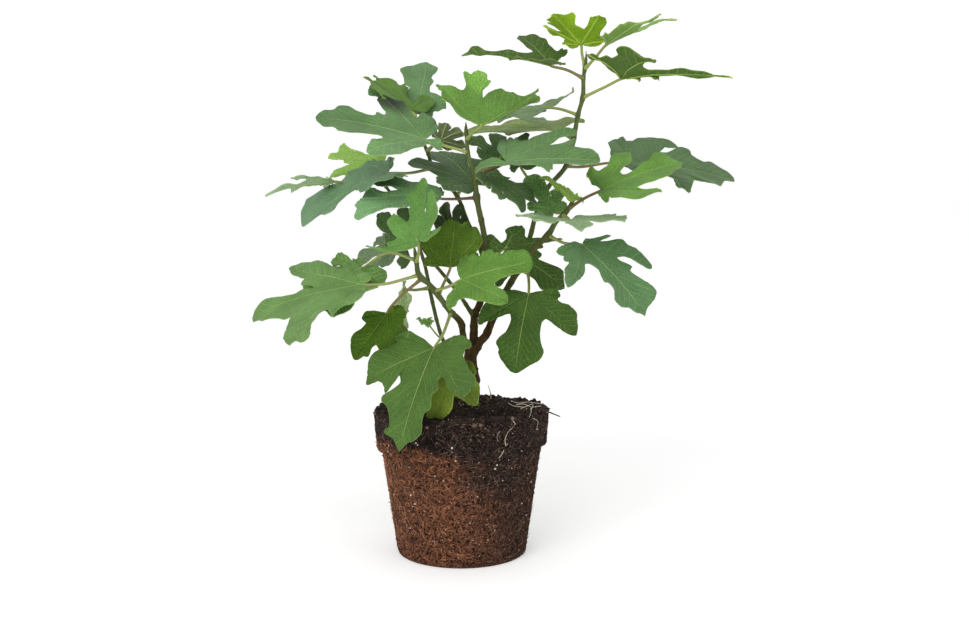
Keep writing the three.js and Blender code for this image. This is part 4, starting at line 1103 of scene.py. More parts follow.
def lathe(profile, columns):
    """A closed body turned from a profile of (radius, height) that starts and ends on the axis: a ring of
    points for each inner place of the profile, and a pole at each end."""
    profile = np.asarray(profile, float)
    turn = np.linspace(0, 2 * np.pi, columns, endpoint=False)
    rings = np.stack([profile[1:-1, :1] * np.cos(turn), profile[1:-1, :1] * np.sin(turn),
                      np.repeat(profile[1:-1, 1:], columns, axis=1)], axis=-1)
    ends = np.array([[0, 0, profile[0, 1]], [0, 0, profile[-1, 1]]])
    return np.concatenate([rings.reshape(-1, 3), ends]), capped_faces(len(profile) - 2, columns)


def rounded(profile, steps, trim):
    """A profile with its corners rounded: each corner becomes a parabola between points a trim away from
    it, and the long edges get points at even steps."""
    profile = np.asarray(profile, float)
    line = [profile[0]]
    for before, corner, after in zip(profile[:-2], profile[1:-1], profile[2:]):
        reach = [min(trim, 0.45 * norm(end - corner)) for end in (before, after)]
        start = corner + unit(before - corner) * reach[0]
        end = corner + unit(after - corner) * reach[1]
        part = np.linspace(0, 1, 5)[:, None]
        line.extend((1 - part) ** 2 * start + 2 * part * (1 - part) * corner + part ** 2 * end)
    line.append(profile[-1])
    fine = [np.array(line[:1])]
    for start, end in zip(line[:-1], line[1:]):
        count = max(1, int(np.ceil(norm(end - start) / steps)))
        fine.append(start + (end - start) * np.linspace(0, 1, count + 1)[1:, None])
    return np.concatenate(fine)


def leaned(points):
    """The pot leans a little: points rise to the right, the more the higher they are. Its collar has
    sagged at the back and right, by a smooth step."""
    lift = RIM_LEAN * points[..., 0] * points[..., 2] / POT_HEIGHT
    back = ease((0.6 * points[..., 0] + points[..., 1]) / 75)
    high = ease((points[..., 2] - POT_HEIGHT / 2) * 2 / POT_HEIGHT)
    lift = lift - RIM_SINK * (back * high)
    return points + lift[..., None] * [0, 0, 1]


def wall_radius(height):
    """The radius of the pot's outside at a height."""
    step = POT_HEIGHT - COLLAR_HEIGHT
    return np.interp(height, [0, step - LEDGE_DROP, step, POT_HEIGHT],
                     [BASE_RADIUS, COLLAR_RADIUS - COLLAR_STEP, COLLAR_RADIUS - COLLAR_FLARE, COLLAR_RADIUS])


def damp_and_shade_part(points):
    """How dark the felt is: moist on the collar, from a ragged edge that lies lower on the right, and in an
    oval patch at the front right below it. The whole wall also grows darker to the right, a painted shade."""
    x, z = points[..., 0], points[..., 2]
    edge = POT_HEIGHT - COLLAR_HEIGHT + 7 - 12 * ease((x + 50) / 90)
    collar = ease((z - edge + 4 * layered_noise(points, 11, 33, 3)) / 6)
    away = norm((points - DAMP_PLACE) / DAMP_SPREAD, axis=-1)
    patch = ease((1.3 - away + 0.3 * layered_noise(points, 9, 35, 3)) / 0.9)
    # Painted shade: the wall darkens towards the right.
    right = 0.8 * ease((x + 8) / 62)
    return 1 - (1 - collar) * (1 - 0.85 * patch) * (1 - right)


def felt_relief(points):
    """How far the pressed felt stands out or sinks, in millimetres: broad dents and fine matted lumps."""
    return (0.7 * layered_noise(points, 26, 5, 2) + 0.6 * layered_noise(points, 6, 9, 2)
            + 0.55 * layered_noise(points, 2.8, 15, 2))


def pot_shell(settings):
    """The pot: a turned profile with rounded edges, whose rim and ledge are ragged. Its felt is dented by
    layered noise, more on the outside."""
    step = POT_HEIGHT - COLLAR_HEIGHT
    wall_top = COLLAR_RADIUS - COLLAR_STEP
    rim = (COLLAR_RADIUS - WALL / 2, POT_HEIGHT)
    outer = [(0, 0), (BASE_RADIUS, 0), (wall_top, step - LEDGE_DROP), (COLLAR_RADIUS - COLLAR_FLARE, step),
             (COLLAR_RADIUS, POT_HEIGHT), rim]
    inner = [rim, (COLLAR_RADIUS - WALL, POT_HEIGHT), (wall_top - WALL, step - LEDGE_DROP),
             (BASE_RADIUS - WALL, FLOOR), (0, FLOOR)]
    fine = settings.felt_step * 1000
    profile = np.concatenate([rounded(outer, fine, 1.6), rounded(inner, 5 * fine, 1.6)[1:]])
    points, faces = lathe(profile, POT_COLUMNS)
    angle = np.arctan2(points[:, 1], points[:, 0])
    radius = norm(points[:, :2], axis=1)
    outside = (radius > wall_radius(points[:, 2]) - 1.8) & (radius > 10)
    normals = point_normals(points, faces)
    around = np.stack([np.cos(angle), np.sin(angle), np.zeros_like(angle)], axis=1) * COLLAR_RADIUS
    ragged = layered_noise(around, 9, 31, 3)
    rim = ease((points[:, 2] - POT_HEIGHT + 7) / 7) * (radius > 60)
    ledge = np.exp(-((points[:, 2] - step + 1) / 4) ** 2) * outside
    relief = felt_relief(points) * np.where(outside, 1, 0.3) * settings.felt_relief * 1000
    points = points + normals * relief[:, None] * ease(points[:, 2:] / 4)
    points[:, 2] += rim * ragged * 2.0 + ledge * layered_noise(around, 13, 37, 2) * 1.8
    points[:, :2] += (np.stack([np.cos(angle), np.sin(angle)], axis=1)
                      * (ledge * layered_noise(around, 8, 41, 3) * 1.0)[:, None])
    return Shell(leaned(points), faces, damp=damp_and_shade_part(points))


def on_wall(angle, height, out):
    """Points on the outside of the pot at an angle and a height, a little way out of it."""
    radius = wall_radius(height) + out
    points = np.stack([radius * np.cos(angle), radius * np.sin(angle), height], axis=-1)
    return leaned(points)


def on_wall_seen(seen, out):
    """The points where sight lines meet the front of the pot: the depth is mended until the radius fits."""
    places = np.column_stack([np.asarray(seen, float), np.full(len(seen), -COLLAR_RADIUS)])
    for _ in range(6):
        points = point_at(places)
        height = points[:, 2] - RIM_LEAN * points[:, 0] * points[:, 2] / POT_HEIGHT
        radius = wall_radius(np.clip(height, 0, POT_HEIGHT)) + out
        places[:, 2] = -np.sqrt(np.maximum(radius ** 2 - points[:, 0] ** 2, 1))
    return point_at(places)


def strands(paths, radii, **values):
    """Many closed three-sided strands at once: paths is (strand, point, 3), and the radius tapers to both
    ends."""
    count, rows = paths.shape[:2]
    tangent = unit(np.gradient(paths, axis=1))
    outward = unit(paths * [1, 1, 0])
    side = unit(np.cross(tangent, outward))
    up = np.cross(side, tangent)
    taper = np.sqrt(np.sin(np.pi * np.linspace(0.04, 0.96, rows)))
    reach = (radii[:, None] * taper)[..., None, None]
    turn = (np.arange(3) * 2 * np.pi / 3)[:, None]
    rings = paths[:, :, None] + reach * (np.cos(turn) * side[:, :, None] + np.sin(turn) * up[:, :, None])
    grid = grid_faces(rows, 3, True)
    last = (rows - 1) * 3
    one = np.concatenate([grid, [[2, 1, 0, -1], [last, last + 1, last + 2, -1]]])
    faces = one[None] + (np.arange(count) * rows * 3)[:, None, None]
    faces = np.where(one[None] < 0, -1, faces).reshape(-1, 4)
    spread = {name: np.repeat(np.broadcast_to(value, (count, rows)).ravel(), 3)
              for name, value in values.items()}
    return Shell(rings.reshape(-1, 3), faces, **spread)


def wall_strands(chance, count, rows, lengths, radii, bend, lifted):
    """Coir strands on the outside of the pot. A strand runs over the unrolled wall in any direction, and its
    heading turns steadily from end to end. A part of them lifts off at one end."""
    part = np.linspace(0, 1, rows)
    height, angle = chance.uniform(1, POT_HEIGHT + 1, (count, 1)), chance.uniform(0, 2 * np.pi, (count, 1))
    step = chance.uniform(*lengths, (count, 1)) / (rows - 1)
    heading = chance.uniform(0, np.pi, (count, 1)) + chance.normal(0, bend, (count, 1)) * (part - 0.5)
    heights = np.clip(height + np.cumsum(np.sin(heading) * step, axis=1), 0.6, POT_HEIGHT + 1.5)
    angles = angle + np.cumsum(np.cos(heading) * step, axis=1) / np.maximum(wall_radius(heights), 1)
    lift = np.where(chance.random((count, 1)) < lifted, chance.uniform(0.8, 3.2, (count, 1)), 0.1)
    paths = on_wall(angles, heights, chance.uniform(-0.1, 0.4, (count, 1)) + lift * part ** 3)
    # The strands darken with the felt: where it is moist, and on the right as painted shade.
    return strands(paths, chance.uniform(*radii, count), tone=chance.random((count, 1)),
                   damp=damp_and_shade_part(paths))


def soil_fibres_shell(settings, chance):
    """Short fibres that lie flat on the soil in every direction."""
    count = settings.soil_fibres
    along = np.linspace(-0.5, 0.5, 5) * chance.uniform(4, 17, (count, 1))
    heading = chance.uniform(0, np.pi, (count, 1)) + chance.uniform(-1, 1, (count, 1)) * along / 9
    radius, turn = 79 * np.sqrt(chance.random((count, 1))), chance.uniform(0, 2 * np.pi, (count, 1))
    x, y = radius * np.cos(turn) + along * np.cos(heading), radius * np.sin(turn) + along * np.sin(heading)
    inwards = 80 / np.maximum(np.hypot(x, y), 80)
    x, y = x * inwards, y * inwards
    paths = leaned(np.stack([x, y, soil_height(x, y, settings) + 0.3], axis=-1))
    return strands(paths, chance.uniform(0.16, 0.36, count), tone=chance.random((count, 1)), damp=1.0)


def wall_crumbs_shell(settings, chance):
    """Small crumbs that cling to the outside of the pot, and more on its rim, where they hide the felt's
    edge."""
    count = settings.wall_crumbs
    on_rim = count // 3
    angle = chance.uniform(0, 2 * np.pi, count)
    height = POT_HEIGHT * chance.uniform(0.02, 1, count) ** 0.8
    places = on_wall(angle, height, chance.uniform(-0.25, 0.25, count))
    radius = COLLAR_RADIUS + chance.uniform(-7.5, 0.2, on_rim)
    rim = np.stack([radius * np.cos(angle[:on_rim]), radius * np.sin(angle[:on_rim]),
                    POT_HEIGHT + chance.uniform(-0.8, 1.3, on_rim)], axis=-1)
    places[:on_rim] = leaned(rim)
    size = chance.uniform(0.4, 1.15, count)
    size[:on_rim] *= 1.7
    # Dark where the felt is moist, and on the right where the shade is painted.
    damp = np.clip(damp_and_shade_part(places) + 0.2 * chance.uniform(-1, 1, count), 0, 1)
    sizes = size[:, None] * chance.uniform(0.6, 1.3, (count, 3))
    return scattered(places, sizes, chance, 0.2, crumb_shape(False), tone=chance.random(count), damp=damp)


def soil_height(x, y, settings):
    """The height of the soil's top: a mound at the stem, a hollow near the front rim, both bell curves, long
    waves, and crumbs from layered noise."""
    def bell(cx, cy, spread):
        return np.exp(-((x - cx) ** 2 + (y - cy) ** 2) / (2 * spread ** 2))

    waves = np.sin(x * 0.19 + 1) * np.cos(y * 0.23 - 2) + 0.6 * np.sin(x * 0.41 - y * 0.37)
    places = np.stack([x, y, np.zeros_like(x)], axis=-1)
    crumbs = (1.3 * layered_noise(places, 6.5, 51, 3) + 0.9 * np.abs(layered_noise(places, 2.6, 61, 2)))
    height = (POT_HEIGHT + SOIL_COVER + MOUND_HEIGHT * bell(*MOUND, MOUND_SPREAD)
              - HOLLOW_DEPTH * bell(*HOLLOW, HOLLOW_SPREAD) + WAVE_HEIGHT * waves)
    return np.maximum(height, POT_HEIGHT - SOIL_DEEPEST) + crumbs * settings.crumb_relief * 1000


def soil_shell(settings):
    """The root ball: a turned body just inside the pot whose top is a fine grid with the soil's height."""
    step = POT_HEIGHT - COLLAR_HEIGHT
    inner = COLLAR_RADIUS - WALL - GAP
    wall_top = COLLAR_RADIUS - COLLAR_STEP - WALL - GAP
    over = COLLAR_RADIUS - RIM_SHOWN
    flat_top = POT_HEIGHT + SOIL_COVER
    top = np.column_stack([np.linspace(over, 0, SOIL_ROWS), np.full(SOIL_ROWS, flat_top)])
    body = [(0, FLOOR + GAP), (BASE_RADIUS - WALL - GAP, FLOOR + GAP), (wall_top, step - LEDGE_DROP),
            (inner, POT_HEIGHT + GAP), (over, POT_HEIGHT + GAP)]
    points, faces = lathe(np.concatenate([body, top]), SOIL_COLUMNS)
    on_top = points[:, 2] > flat_top - 0.1
    points[on_top, 2] = soil_height(points[on_top, 0], points[on_top, 1], settings)
    return Shell(leaned(points), faces, deep=hollow_part(points))


def hollow_part(points):
    """How deep in the hollow points lie, by a bell curve, where painted shade makes the soil darkest."""
    return np.exp(-((points[..., :2] - HOLLOW) ** 2).sum(axis=-1) / (2 * DARK_SPREAD ** 2))


def crumb_shape(halved=True):
    """The corners and faces of an icosahedron, with its edges halved or not, on the unit ball."""
    golden = (1 + 5 ** 0.5) / 2
    signs = np.array([(a, b) for a in (-1, 1) for b in (-golden, golden)])
    zero = np.zeros((4, 1))
    corners = np.concatenate([np.hstack([zero, signs]), np.hstack([signs, zero]),
                              np.hstack([signs[:, 1:], zero, signs[:, :1]])])
    gaps = norm(corners[:, None] - corners, axis=-1)
    near = np.isclose(gaps, 2)
    faces = [(a, b, c) for a in range(12) for b in range(a + 1, 12) for c in range(b + 1, 12)
             if near[a, b] and near[b, c] and near[a, c]]
    faces = np.array([face if np.linalg.det(corners[list(face)]) > 0 else face[::-1] for face in faces])
    if not halved:
        return unit(corners), faces
    edges = np.unique(np.sort(np.concatenate([faces[:, [0, 1]], faces[:, [1, 2]], faces[:, [2, 0]]]), axis=1),
                      axis=0)
    points = np.concatenate([corners, (corners[edges[:, 0]] + corners[edges[:, 1]]) / 2])
    middle = {tuple(edge): i + 12 for i, edge in enumerate(edges)}
    split = []
    for a, b, c in faces:
        ab, bc, ca = (middle[tuple(sorted(pair))] for pair in ((a, b), (b, c), (c, a)))
        split += [(a, ab, ca), (b, bc, ab), (c, ca, bc), (ab, bc, ca)]
    return unit(points), np.array(split)


def scattered(places, sizes, chance, roughness, shape=None, **values):
    """Many small lumps at once: a ball of triangles at each place, its corners moved in and out, stretched
    by its three sizes and turned at random."""
    ball, triangles = shape or crumb_shape()
    count = len(places)
    points = ball * (1 + chance.uniform(-roughness, roughness, (count, len(ball), 1))) * sizes[:, None]
    spin, _ = np.linalg.qr(chance.normal(size=(count, 3, 3)))
    spin *= np.sign(np.linalg.det(spin))[:, None, None]
    points = np.einsum("nvi,nij->nvj", points, spin) + places[:, None]
    faces = (triangles[None] + (np.arange(count) * len(ball))[:, None, None]).reshape(-1, 3)
    faces = np.column_stack([faces, np.full(len(faces), -1)])
    spread = {name: np.repeat(np.broadcast_to(value, count), len(ball)) for name, value in values.items()}
    return Shell(points.reshape(-1, 3), faces, **spread)


def on_soil(radius, angle, sink, settings):
    """Places on the soil's top, sunk a little."""
    x, y = radius * np.cos(angle), radius * np.sin(angle)
    return leaned(np.stack([x, y, soil_height(x, y, settings) - sink], axis=-1))


def crumbs_shell(settings, chance):
    """Loose crumbs and bark chips on the soil and along the rim."""
    count = settings.crumb_count
    radius = (COLLAR_RADIUS + 0.5) * np.sqrt(chance.uniform(0, 1, count))
    radius[: count // 4] = COLLAR_RADIUS + chance.uniform(-6, 1.2, count // 4)
    angle = chance.uniform(0, 2 * np.pi, count)
    size = chance.uniform(0.7, 2.3, (count, 1)) * chance.uniform(0.7, 1.2, (count, 3))
    places = on_soil(np.minimum(radius, 80), angle, 0.2, settings)
    # Crumbs in and round the hollow are darker: painted shade.
    tone = chance.random(count) * (1 - 0.8 * hollow_part(places))
    crumbs = scattered(places, size, chance, 0.28, tone=tone)
    chips = settings.chip_count
    flat = chance.uniform(2.2, 6, (chips, 1)) * [1, 0.35, 0.16] * chance.uniform(0.8, 1.2, (chips, 3))
    places = on_soil(chance.uniform(5, 78, chips), chance.uniform(0, 2 * np.pi, chips), -0.4, settings)
    bark = scattered(places, flat, chance, 0.12, tone=1.0 + chance.random(chips))
    return joined([crumbs, bark])


def perlite_shell(settings, chance):
    """White specks: on the soil's top, in the felt of the collar and wall, and a few large ones at seen
    places."""
    top, wall = settings.top_specks, settings.wall_specks
    on_top = on_soil(chance.uniform(0, 79, top), chance.uniform(0, 2 * np.pi, top), -0.3, settings)
    angle = chance.uniform(0, 2 * np.pi, wall)
    beside = on_wall(angle, POT_HEIGHT * chance.uniform(0.01, 1, wall) ** 0.7, 0.5)
    large = on_wall_seen(places_in(LARGE_SPECKS), 0.3)
    places = np.concatenate([on_top, beside, large])
    size = np.concatenate([chance.uniform(0.3, 1.0, top), 0.2 + 0.6 * chance.random(wall) ** 3,
                           np.full(len(large), 1.1)])
    return scattered(places, size[:, None] * chance.uniform(0.75, 1.15, (len(size), 3)), chance, 0.22,
                     crumb_shape(False))


class Surface:
    """A material's node graph, with short ways to add nodes and join them."""

    def __init__(self, name, roughness=0.6, specular=0.4):
        self.material = bpy.data.materials.new(name)
        self.material.use_nodes = True
        self.nodes, self.links = self.material.node_tree.nodes, self.material.node_tree.links
        self.shader = self.nodes["Principled BSDF"]
        self.shader.inputs["Roughness"].default_value = roughness
        self.shader.inputs["Specular IOR Level"].default_value = specular

    def add(self, kind, inputs=(), output=0, **settings):
        """Adds a node, sets what it has, joins or fills its inputs, and gives one of its outputs."""
        node = self.nodes.new(kind)
        for key, value in settings.items():
            setattr(node, key, value)
        for key, value in dict(inputs).items():
            self.join(value, node.inputs[key])
        return node.outputs[output]

    def join(self, value, socket):
        if isinstance(value, bpy.types.NodeSocket):
            self.links.new(value, socket)
        else:
            socket.default_value = value

    def value(self, name):
        """A value held by the mesh's points."""
        return self.add("ShaderNodeAttribute", output="Fac", attribute_name=name)

    def places(self, stretch=(1, 1, 1)):
        """Places on the object, in metres, stretched."""
        space = self.add("ShaderNodeTexCoord", output="Object")
        return self.add("ShaderNodeMapping", {"Vector": space, "Scale": stretch})

    def noise(self, places, scale, detail=3.0, roughness=0.5, distortion=0.0):
        return self.add("ShaderNodeTexNoise", {"Vector": places, "Scale": scale, "Detail": detail,
                                               "Roughness": roughness, "Distortion": distortion})

    def sum(self, operation, *values):
        return self.add("ShaderNodeMath", dict(enumerate(values)), operation=operation)

    def product(self, first, second):
        return self.sum("MULTIPLY", first, second)

    def ramp(self, value, low, high, start=0.0, end=1.0):
        """The value's way from low to high, as a smooth step from start to end."""
        return self.add("ShaderNodeMapRange", {"Value": value, "From Min": low, "From Max": high,
                                               "To Min": start, "To Max": end},
                        interpolation_type="SMOOTHSTEP")

    def mix(self, part, first, second, blend="MIX"):
        """Two colours, blended by a part from 0 to 1."""
        node = self.nodes.new("ShaderNodeMix")
        node.data_type = "RGBA"
        node.blend_type = blend
        for index, value in ((0, part), (6, first), (7, second)):
            if index and not isinstance(value, bpy.types.NodeSocket):
                value = (*value[:3], 1.0)
            self.join(value, node.inputs[index])
        return node.outputs[2]

    def finish(self, colour, height=None, depth=0.0, strength=1.0):
        """Sets the colour and, with a height from 0 to 1 and its depth in metres, the fine relief."""
        self.join(colour, self.shader.inputs["Base Color"])
        if height is not None:
            relief = self.add("ShaderNodeBump", {"Height": height, "Distance": depth, "Strength": strength})
            self.join(relief, self.shader.inputs["Normal"])
        return self.material


def scaled(colour, factor):
    return tuple(min(1.0, part * factor) for part in colour[:3])


def leaf_material(name, upper, lower, vein, gloss):
    """A leaf's skin. The upper and lower faces have their own greens, mottled by two noises. Main veins
    are pale lines along the midribs, side veins follow the phase of the vein map, and a web of cells lies
    between. The shade value scales the green and the pale of the veins: the leaf's own tone together with
    painted light and shade. The blue value scales the blue: its own hue together with a painted sky
    reflection."""
    skin = Surface(name, roughness=0.66 - 0.2 * gloss, specular=0.14 + 0.22 * gloss)
    skin.shader.inputs["Sheen Weight"].default_value = 0.02
    skin.shader.inputs["Sheen Roughness"].default_value = 0.5
    below = skin.value("lower_face")
    shade = skin.value("shade")
    taper = skin.value("taper")
    margin = skin.value("margin")
    vein_map = skin.add("ShaderNodeUVMap", uv_map="vein_map")
    split = skin.nodes.new("ShaderNodeSeparateXYZ")
    skin.join(vein_map, split.inputs[0])
    phase, distance = split.outputs[0], split.outputs[1]
    space = skin.places()

    green = skin.mix(below, upper, lower)
    broad = skin.ramp(skin.noise(space, 42, 3.0), 0.32, 0.68, 0.88, 1.1)
    fine = skin.noise(space, 760, 5.0, 0.7)
    tone = skin.product(broad, skin.ramp(fine, 0.35, 0.68, 0.8, 1.2))
    # The shade value: the leaf's own tone with painted light where it lies lit and painted shade where it
    # lies in shadow.
    tone = skin.product(tone, shade)

    cells = skin.add("ShaderNodeTexVoronoi", {"Vector": space, "Scale": 330}, feature="DISTANCE_TO_EDGE")
    web = skin.ramp(cells, 0.02, 0.1, 1.0, 0.0)
    green = skin.mix(skin.product(web, 0.18), green, vein)

    uneven = skin.product(skin.sum("SUBTRACT", skin.noise(space, 45, 2.0), 0.5), 0.9)
    turn = skin.sum("FRACT", skin.sum("ADD", phase, uneven))
    turn = skin.sum("ABSOLUTE", skin.sum("SUBTRACT", turn, 0.5))
    side = skin.ramp(turn, 0.44, 0.5)
    side = skin.product(side, skin.ramp(margin, 1.0, 0.72, 0.25, 1.0))
    green = skin.mix(skin.product(side, 0.6), green, vein)

    width = skin.product(taper, 0.0072)
    main = skin.sum("SUBTRACT", 1.0, skin.ramp(skin.sum("DIVIDE", distance, width), 0.55, 1.25))
    # The blue value: the leaf's own hue together with a painted sky reflection on the face.
    less_blue = skin.product(skin.value("blue"), tone)
    tint = skin.add("ShaderNodeCombineColor", {0: tone, 1: tone, 2: less_blue})
    green = skin.mix(1.0, green, tint, "MULTIPLY")
    # The pale veins follow the shade value too: painted light and shade as well as their own tone.
    pale = skin.mix(skin.ramp(shade, 0.2, 1.4), scaled(vein, 0.55), scaled(vein, 1.35))
    # The pale veins take the blue value too: a painted sky reflection as well as their own hue.
    blue = skin.ramp(skin.value("blue"), 0.0, 1.0, 0.3, 1.0)
    pale = skin.mix(1.0, pale, skin.add("ShaderNodeCombineColor", {0: 1.0, 1: 1.0, 2: blue}), "MULTIPLY")
    green = skin.mix(skin.product(main, 0.95), green, pale)
    green = skin.mix(skin.ramp(margin, 0.965, 1.0, 0.0, 0.3), green, pale)

    raised = skin.sum("ADD", skin.product(side, -0.35), skin.product(web, -0.25))
    raised = skin.sum("ADD", raised, skin.product(fine, 0.5))
    return skin.finish(green, raised, 0.0006, 0.55)


def petiole_material(colour):
    """A petiole's skin: its green runs to a redder one in places, with fine streaks along it."""
    skin = Surface("Petiole Skin", roughness=0.5, specular=0.35)
    space = skin.places()
    blush = skin.ramp(skin.noise(space, 22, 1.0), 0.56, 0.76, 0.0, 0.4)
    blush = skin.sum("MAXIMUM", blush, skin.value("red"))
    green = skin.mix(blush, colour, (0.150, 0.072, 0.036))
    fine = skin.noise(space, 700, 3.0)
    green = skin.mix(skin.ramp(fine, 0.35, 0.7, 0.0, 0.3), green, scaled(colour, 1.45))
    return skin.finish(green, fine, 0.0004, 0.4)


def bark_material(old, young):
    """Bark: dark brown with pale lenticels and cracks on the old wood, green towards the ends."""
    skin = Surface("Fig Bark", roughness=0.75, specular=0.12)
    space = skin.places()
    drawn = skin.places((1, 1, 0.3))
    age = skin.value("age")
    green = skin.mix(skin.ramp(skin.noise(space, 90, 3.0), 0.35, 0.65, 0.0, 0.6), young, scaled(young, 0.6))
    grain = skin.ramp(skin.noise(drawn, 240, 4.0, 0.65), 0.3, 0.7)
    wood = skin.mix(grain, scaled(old, 0.6), scaled(old, 1.6))
    specks = skin.add("ShaderNodeTexVoronoi", {"Vector": skin.places((1, 1, 2.2)), "Scale": 260})
    wood = skin.mix(skin.ramp(specks, 0.1, 0.24, 0.4, 0.0), wood, (0.18, 0.13, 0.075))
    mixed = skin.mix(skin.ramp(age, 0.1, 0.75), green, wood)
    cracks = skin.noise(drawn, 520, 5.0, 0.7)
    return skin.finish(mixed, cracks, 0.0012, 0.7)


def felt_material(wall, wet_and_shaded):
    """Pressed coir felt: matted fibres and grains, lighter and darker, with dark pits, dark where it is moist
    and on the right, where the shade is painted."""
    skin = Surface("Pressed Coir Felt", roughness=0.95, specular=0.1)
    space = skin.places()
    matted = skin.noise(skin.places((1, 1, 2.2)), 240, 6.0, 0.75, 0.6)
    grains = skin.noise(space, 460, 5.0, 0.8)
    tone = skin.sum("ADD", skin.product(matted, 0.35), skin.product(grains, 0.65))
    dry = skin.mix(skin.ramp(tone, 0.43, 0.57), scaled(wall, 0.12), scaled(wall, 1.5))
    flecks = skin.noise(skin.places((1, 1, 3.0)), 480, 3.0, 0.7)
    dry = skin.mix(skin.ramp(flecks, 0.56, 0.66, 0.0, 0.8), dry, scaled(wall, 2.6))
    damp = skin.mix(skin.ramp(tone, 0.44, 0.6), scaled(wet_and_shaded, 0.15), scaled(wet_and_shaded, 1.8))
    damp = skin.mix(skin.ramp(flecks, 0.55, 0.65, 0.0, 0.8), damp, PALE_COIR)
    patches = skin.ramp(skin.noise(space, 34, 5.0, 0.65), 0.35, 0.7, 0.0, 0.35)
    # The dark felt: moist on the collar, the patch and the patches, and painted shade on the right.
    felt = skin.mix(skin.sum("MAXIMUM", skin.value("damp"), patches), dry, damp)
    pits = skin.noise(space, 380, 2.0)
    felt = skin.mix(skin.ramp(pits, 0.44, 0.34), felt, scaled(wet_and_shaded, 0.2))
    return skin.finish(felt, tone, 0.005, 1.0)


def wall_crumb_material(wall, wet_and_shaded):
    """Crumbs that cling to the pot: brown where it is dry and dark where it is moist and on the right, where
    the shade is painted, each in its own tone."""
    skin = Surface("Clinging Crumbs", roughness=0.93, specular=0.12)
    tone = skin.value("tone")
    dry = skin.mix(tone, scaled(wall, 0.12), scaled(wall, 2.9))
    damp = skin.mix(tone, scaled(wet_and_shaded, 0.2), scaled(wet_and_shaded, 1.9))
    damp = skin.mix(skin.ramp(tone, 0.75, 1.0), damp, PALE_COIR)
    return skin.finish(skin.mix(skin.value("damp"), dry, damp))


def coir_material(pale, wet_and_shaded):
    """Coir strands: each has its own tone, darker where the felt is moist and on the right, where the shade
    is painted.
    """
    skin = Surface("Coir Strands", roughness=0.85, specular=0.2)
    tone = skin.value("tone")
    dry = skin.mix(tone, scaled(pale, 0.2), scaled(pale, 3.3))
    damp = skin.mix(skin.ramp(tone, 0.45, 1.0), scaled(wet_and_shaded, 0.3), PALE_COIR)
    return skin.finish(skin.mix(skin.value("damp"), dry, damp))


def soil_material(colour):
    """Moist peat soil: nearly black hollows and browner crumbs. The hollow by the front rim is darkened by
    painted shade.
    """
    skin = Surface("Damp Potting Soil", roughness=0.9, specular=0.2)
    space = skin.places()
    grains = skin.noise(space, 300, 8.0, 0.75)
    clods = skin.noise(space, 60, 3.0)
    dark = skin.mix(skin.ramp(grains, 0.35, 0.7), scaled(colour, 0.35), scaled(colour, 1.9))
    dark = skin.mix(skin.ramp(clods, 0.4, 0.7, 0.0, 0.5), dark, scaled(colour, 2.4))
    # Painted shade in and round the hollow.
    dark = skin.mix(skin.product(skin.value("deep"), 0.85), dark, scaled(colour, 0.2))
    return skin.finish(dark, grains, 0.004, 1.0)


def crumb_material(colour):
    """Crumbs in soil tones, and above a tone of 1 the browns of bark chips."""
    skin = Surface("Crumbs And Bark Chips", roughness=0.88, specular=0.2)
    tone = skin.value("tone")
    crumb = skin.mix(tone, scaled(colour, 0.5), scaled(colour, 2.0))
    chip = skin.mix(skin.sum("SUBTRACT", tone, 1.0), (0.035, 0.018, 0.011), (0.13, 0.075, 0.042))
    grain = skin.noise(skin.places(), 900, 3.0)
    return skin.finish(skin.mix(skin.sum("GREATER_THAN", tone, 1.0), crumb, chip), grain, 0.0012, 0.8)


def perlite_material(colour):
    """Perlite: off-white, dusted with soil."""
    skin = Surface("Perlite", roughness=0.9, specular=0.2)
    dust = skin.noise(skin.places(), 500, 3.0)
    return skin.finish(skin.mix(skin.ramp(dust, 0.45, 0.75), colour, scaled(colour, 0.5)), dust, 0.0008, 0.6)


def root_material(colour):
    """White roots, a little brown in places."""
    skin = Surface("Fine Roots", roughness=0.6, specular=0.3)
    stain = skin.noise(skin.places(), 150, 3.0)
    stained = skin.mix(skin.ramp(stain, 0.45, 0.75), colour, scaled(colour, 0.45))
    return skin.finish(stained, stain, 0.0004, 0.4)


def paper_material(name, colour):
    """A plain matt surface for the floor and backdrop."""
    skin = Surface(name, roughness=1.0, specular=0.0)
    return skin.finish((*colour[:3], 1.0))


def colour_property(name, colour, description):
    return FloatVectorProperty(name=name, description=description, default=colour, size=3, min=0, max=1,
                               subtype="COLOR")


def count_property(name, count, description):
    return IntProperty(name=name, description=description, default=count, min=0)


def length_property(name, millimetres, description):
    return FloatProperty(name=name, description=description, default=millimetres * MM, min=0, unit="LENGTH",
                         precision=5)


